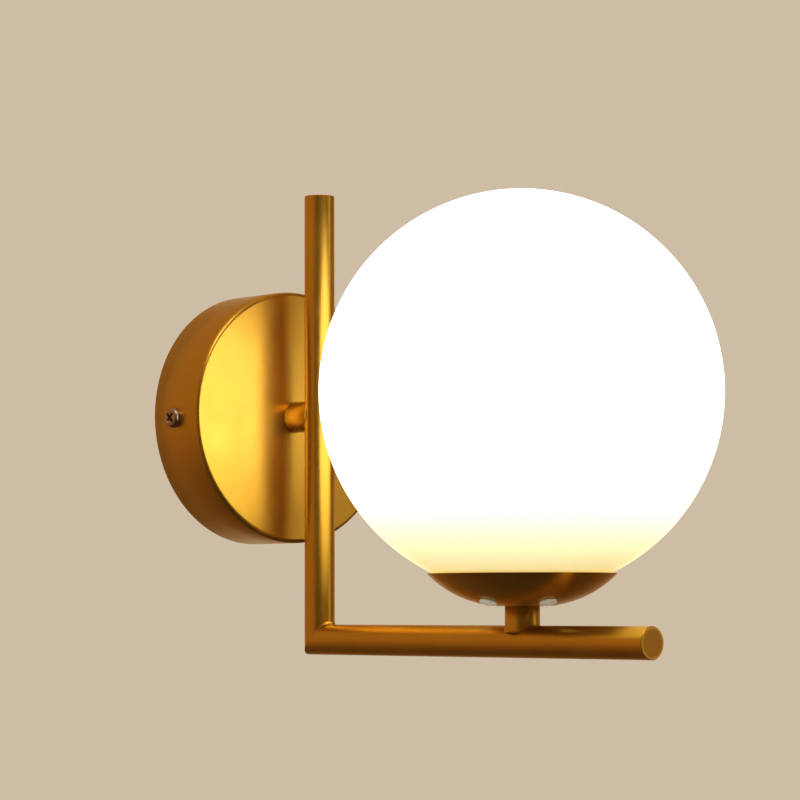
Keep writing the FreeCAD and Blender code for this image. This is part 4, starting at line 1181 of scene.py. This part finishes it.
@dataclass(frozen=True)
class SoftLamp:
    """A rectangular lamp that faces the light."""

    name: str
    place: Point
    size: tuple[float, float]
    watts: float
    colour: Colour = (1.0, 0.87, 0.68)
    target: Point = (0.0, -0.12, 0.0)

    def hang(self) -> None:
        """Put the lamp in the scene."""
        data = bpy.data.lights.new(self.name, "AREA")
        data.shape = "RECTANGLE"
        data.size, data.size_y = self.size
        data.energy = self.watts
        data.color = self.colour
        lamp = bpy.data.objects.new(self.name, data)
        bpy.context.scene.collection.objects.link(lamp)
        aim = (Vector(self.target) - Vector(self.place)).to_track_quat("-Z", "Y")
        lamp.matrix_world = Matrix.Translation(self.place) @ aim.to_matrix().to_4x4()


@dataclass
class Studio:
    """The camera, the soft lamps, the backdrop and the floor."""

    eye: Vector = field(default_factory=lambda: Vector((-734.9, -887.9, -75.7)) * MM)
    yaw: float = 42.63
    pitch: float = 4.18
    roll: float = -0.15
    lens: float = 126.2
    floor_drop: float = 1.2
    floor_clear: float = 0.2
    floor_reach: float = 0.7
    floor_roughness: float = 0.9
    backdrop: Colour = (0.62, 0.51, 0.38)
    soft_colour: Colour = (1.0, 0.98, 0.95)
    soft_light: float = 0.75
    room_rise: tuple[tuple[float, Colour], ...] = (
        (0.0, (0.025, 0.006, 0.002)), (0.16, (0.08, 0.025, 0.006)), (0.44, (0.36, 0.165, 0.045)),
        (0.56, (0.44, 0.225, 0.07)), (0.82, (0.42, 0.215, 0.065)), (1.0, (0.66, 0.41, 0.15)))
    front_dim: float = 0.22
    front_span: tuple[float, float] = (-0.45, 0.15)
    sight: Point = (0.68, 0.73, 0.0)
    sight_span: tuple[float, float] = (0.88, 0.99)
    lamps: tuple[SoftLamp, ...] = (
        SoftLamp("right_strip", (1.13, -1.32, 0.25), (0.50, 1.30), 1.6),
        SoftLamp("top_lamp", (-0.60, -0.90, 1.60), (1.10, 1.10), 11.0))

    def build(self) -> None:
        """Make everything round the light."""
        self.camera()
        self.world()
        self.floor()
        for lamp in self.lamps:
            lamp.hang()
        bpy.context.scene.view_settings.view_transform = "Standard"

    def camera(self) -> None:
        """Set the camera where the photograph was taken from."""
        data = bpy.data.cameras.new("camera")
        data.lens = self.lens
        camera = bpy.data.objects.new("camera", data)
        bpy.context.scene.collection.objects.link(camera)
        yaw, pitch = math.radians(self.yaw), math.radians(self.pitch)
        look = Vector((math.sin(yaw) * math.cos(pitch), math.cos(yaw) * math.cos(pitch), math.sin(pitch)))
        turned = look.to_track_quat("-Z", "Y").to_matrix() @ Matrix.Rotation(math.radians(self.roll), 3, "Z")
        camera.matrix_world = Matrix.Translation(self.eye) @ turned.to_4x4()
        bpy.context.scene.camera = camera

    def world(self) -> None:
        """Make the pale backdrop, the warm room that metal and glass show, and the soft light."""
        world = bpy.data.worlds.new("backdrop")
        bpy.context.scene.world = world
        world.use_nodes = True
        world.node_tree.nodes.clear()
        tree = Tree(world.node_tree)
        path = tree.add("ShaderNodeLightPath").outputs
        plain, soft, room = (
            tree.add("ShaderNodeBackground", Color=colour, Strength=strength).outputs[0]
            for colour, strength in (((*self.backdrop, 1), 1.0), ((*self.soft_colour, 1), self.soft_light),
                                     (self.room(tree), 1.0)))
        rays = {0: path["Is Glossy Ray"], 1: path["Is Transmission Ray"]}
        shiny = tree.work_out("ShaderNodeMath", "MAXIMUM", rays).outputs[0]
        lit = tree.blend(shiny, soft, room)
        tree.add("ShaderNodeOutputWorld", Surface=tree.blend(path["Is Camera Ray"], lit, plain))

    def room(self, tree: Tree) -> Socket:
        """The colour of a warm room: pale behind the light, dim in front of it and dark below.

        Args:
            tree: The world's nodes.

        Returns:
            The colour.
        """
        place = tree.add("ShaderNodeTexCoord").outputs["Generated"]
        parts = tree.add("ShaderNodeSeparateXYZ", Vector=place).outputs
        warm = tree.ramp(tree.spread(parts["Z"], 0.0, 1.0, -1.0, 1.0), self.room_rise)
        front = tree.spread(parts["Y"], self.front_dim, 1.0, *self.front_span, soft=True)
        dimmed = tree.work_out("ShaderNodeVectorMath", "SCALE", {0: warm, "Scale": front}).outputs[0]
        ahead = tree.work_out("ShaderNodeVectorMath", "DOT_PRODUCT", {0: place, 1: self.sight}).outputs["Value"]
        behind = tree.spread(ahead, 0.0, 1.0, *self.sight_span, soft=True)
        mix = tree.add("ShaderNodeMix")
        mix.data_type = "RGBA"
        for number, value in ((0, behind), (6, dimmed), (7, (*self.backdrop, 1))):
            tree.put(mix, number, value)
        return mix.outputs[2]

    def floor(self) -> None:
        """Make the plain pale floor, which fades into the backdrop."""
        mesh = bmesh.new()
        bmesh.ops.create_circle(mesh, cap_ends=True, radius=self.floor_reach, segments=Steps.TUBE)
        mesh.transform(Matrix.Translation((0, 0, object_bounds()[0].z - self.floor_drop)))
        data = bpy.data.meshes.new("floor")
        mesh.to_mesh(data)
        mesh.free()
        floor = bpy.data.objects.new("floor", data)
        bpy.context.scene.collection.objects.link(floor)
        nodes = Surface("floor_paper")
        away = nodes.work_out("ShaderNodeVectorMath", "LENGTH", {0: nodes.place}).outputs["Value"]
        fade = nodes.spread(away, 1.0, 0.0, self.floor_clear, self.floor_reach, soft=True)
        nodes.set(Base_Color=(*self.backdrop, 1), Roughness=self.floor_roughness, Alpha=fade)
        data.materials.append(nodes.material)
        floor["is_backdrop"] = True


def main() -> None:
    """Dress every sub-assembly, then set the studio round it."""
    logging.basicConfig(level=logging.INFO, format="%(message)s")
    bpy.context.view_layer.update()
    for part in (Canopy(), WallFixing(), Wiring(), TubeFrame(), GlobeSeat(), Globe(), Lampholder(), Lamp()):
        part.build()
        part.report()
    Studio().build()


if __name__ == "__main__":
    main()
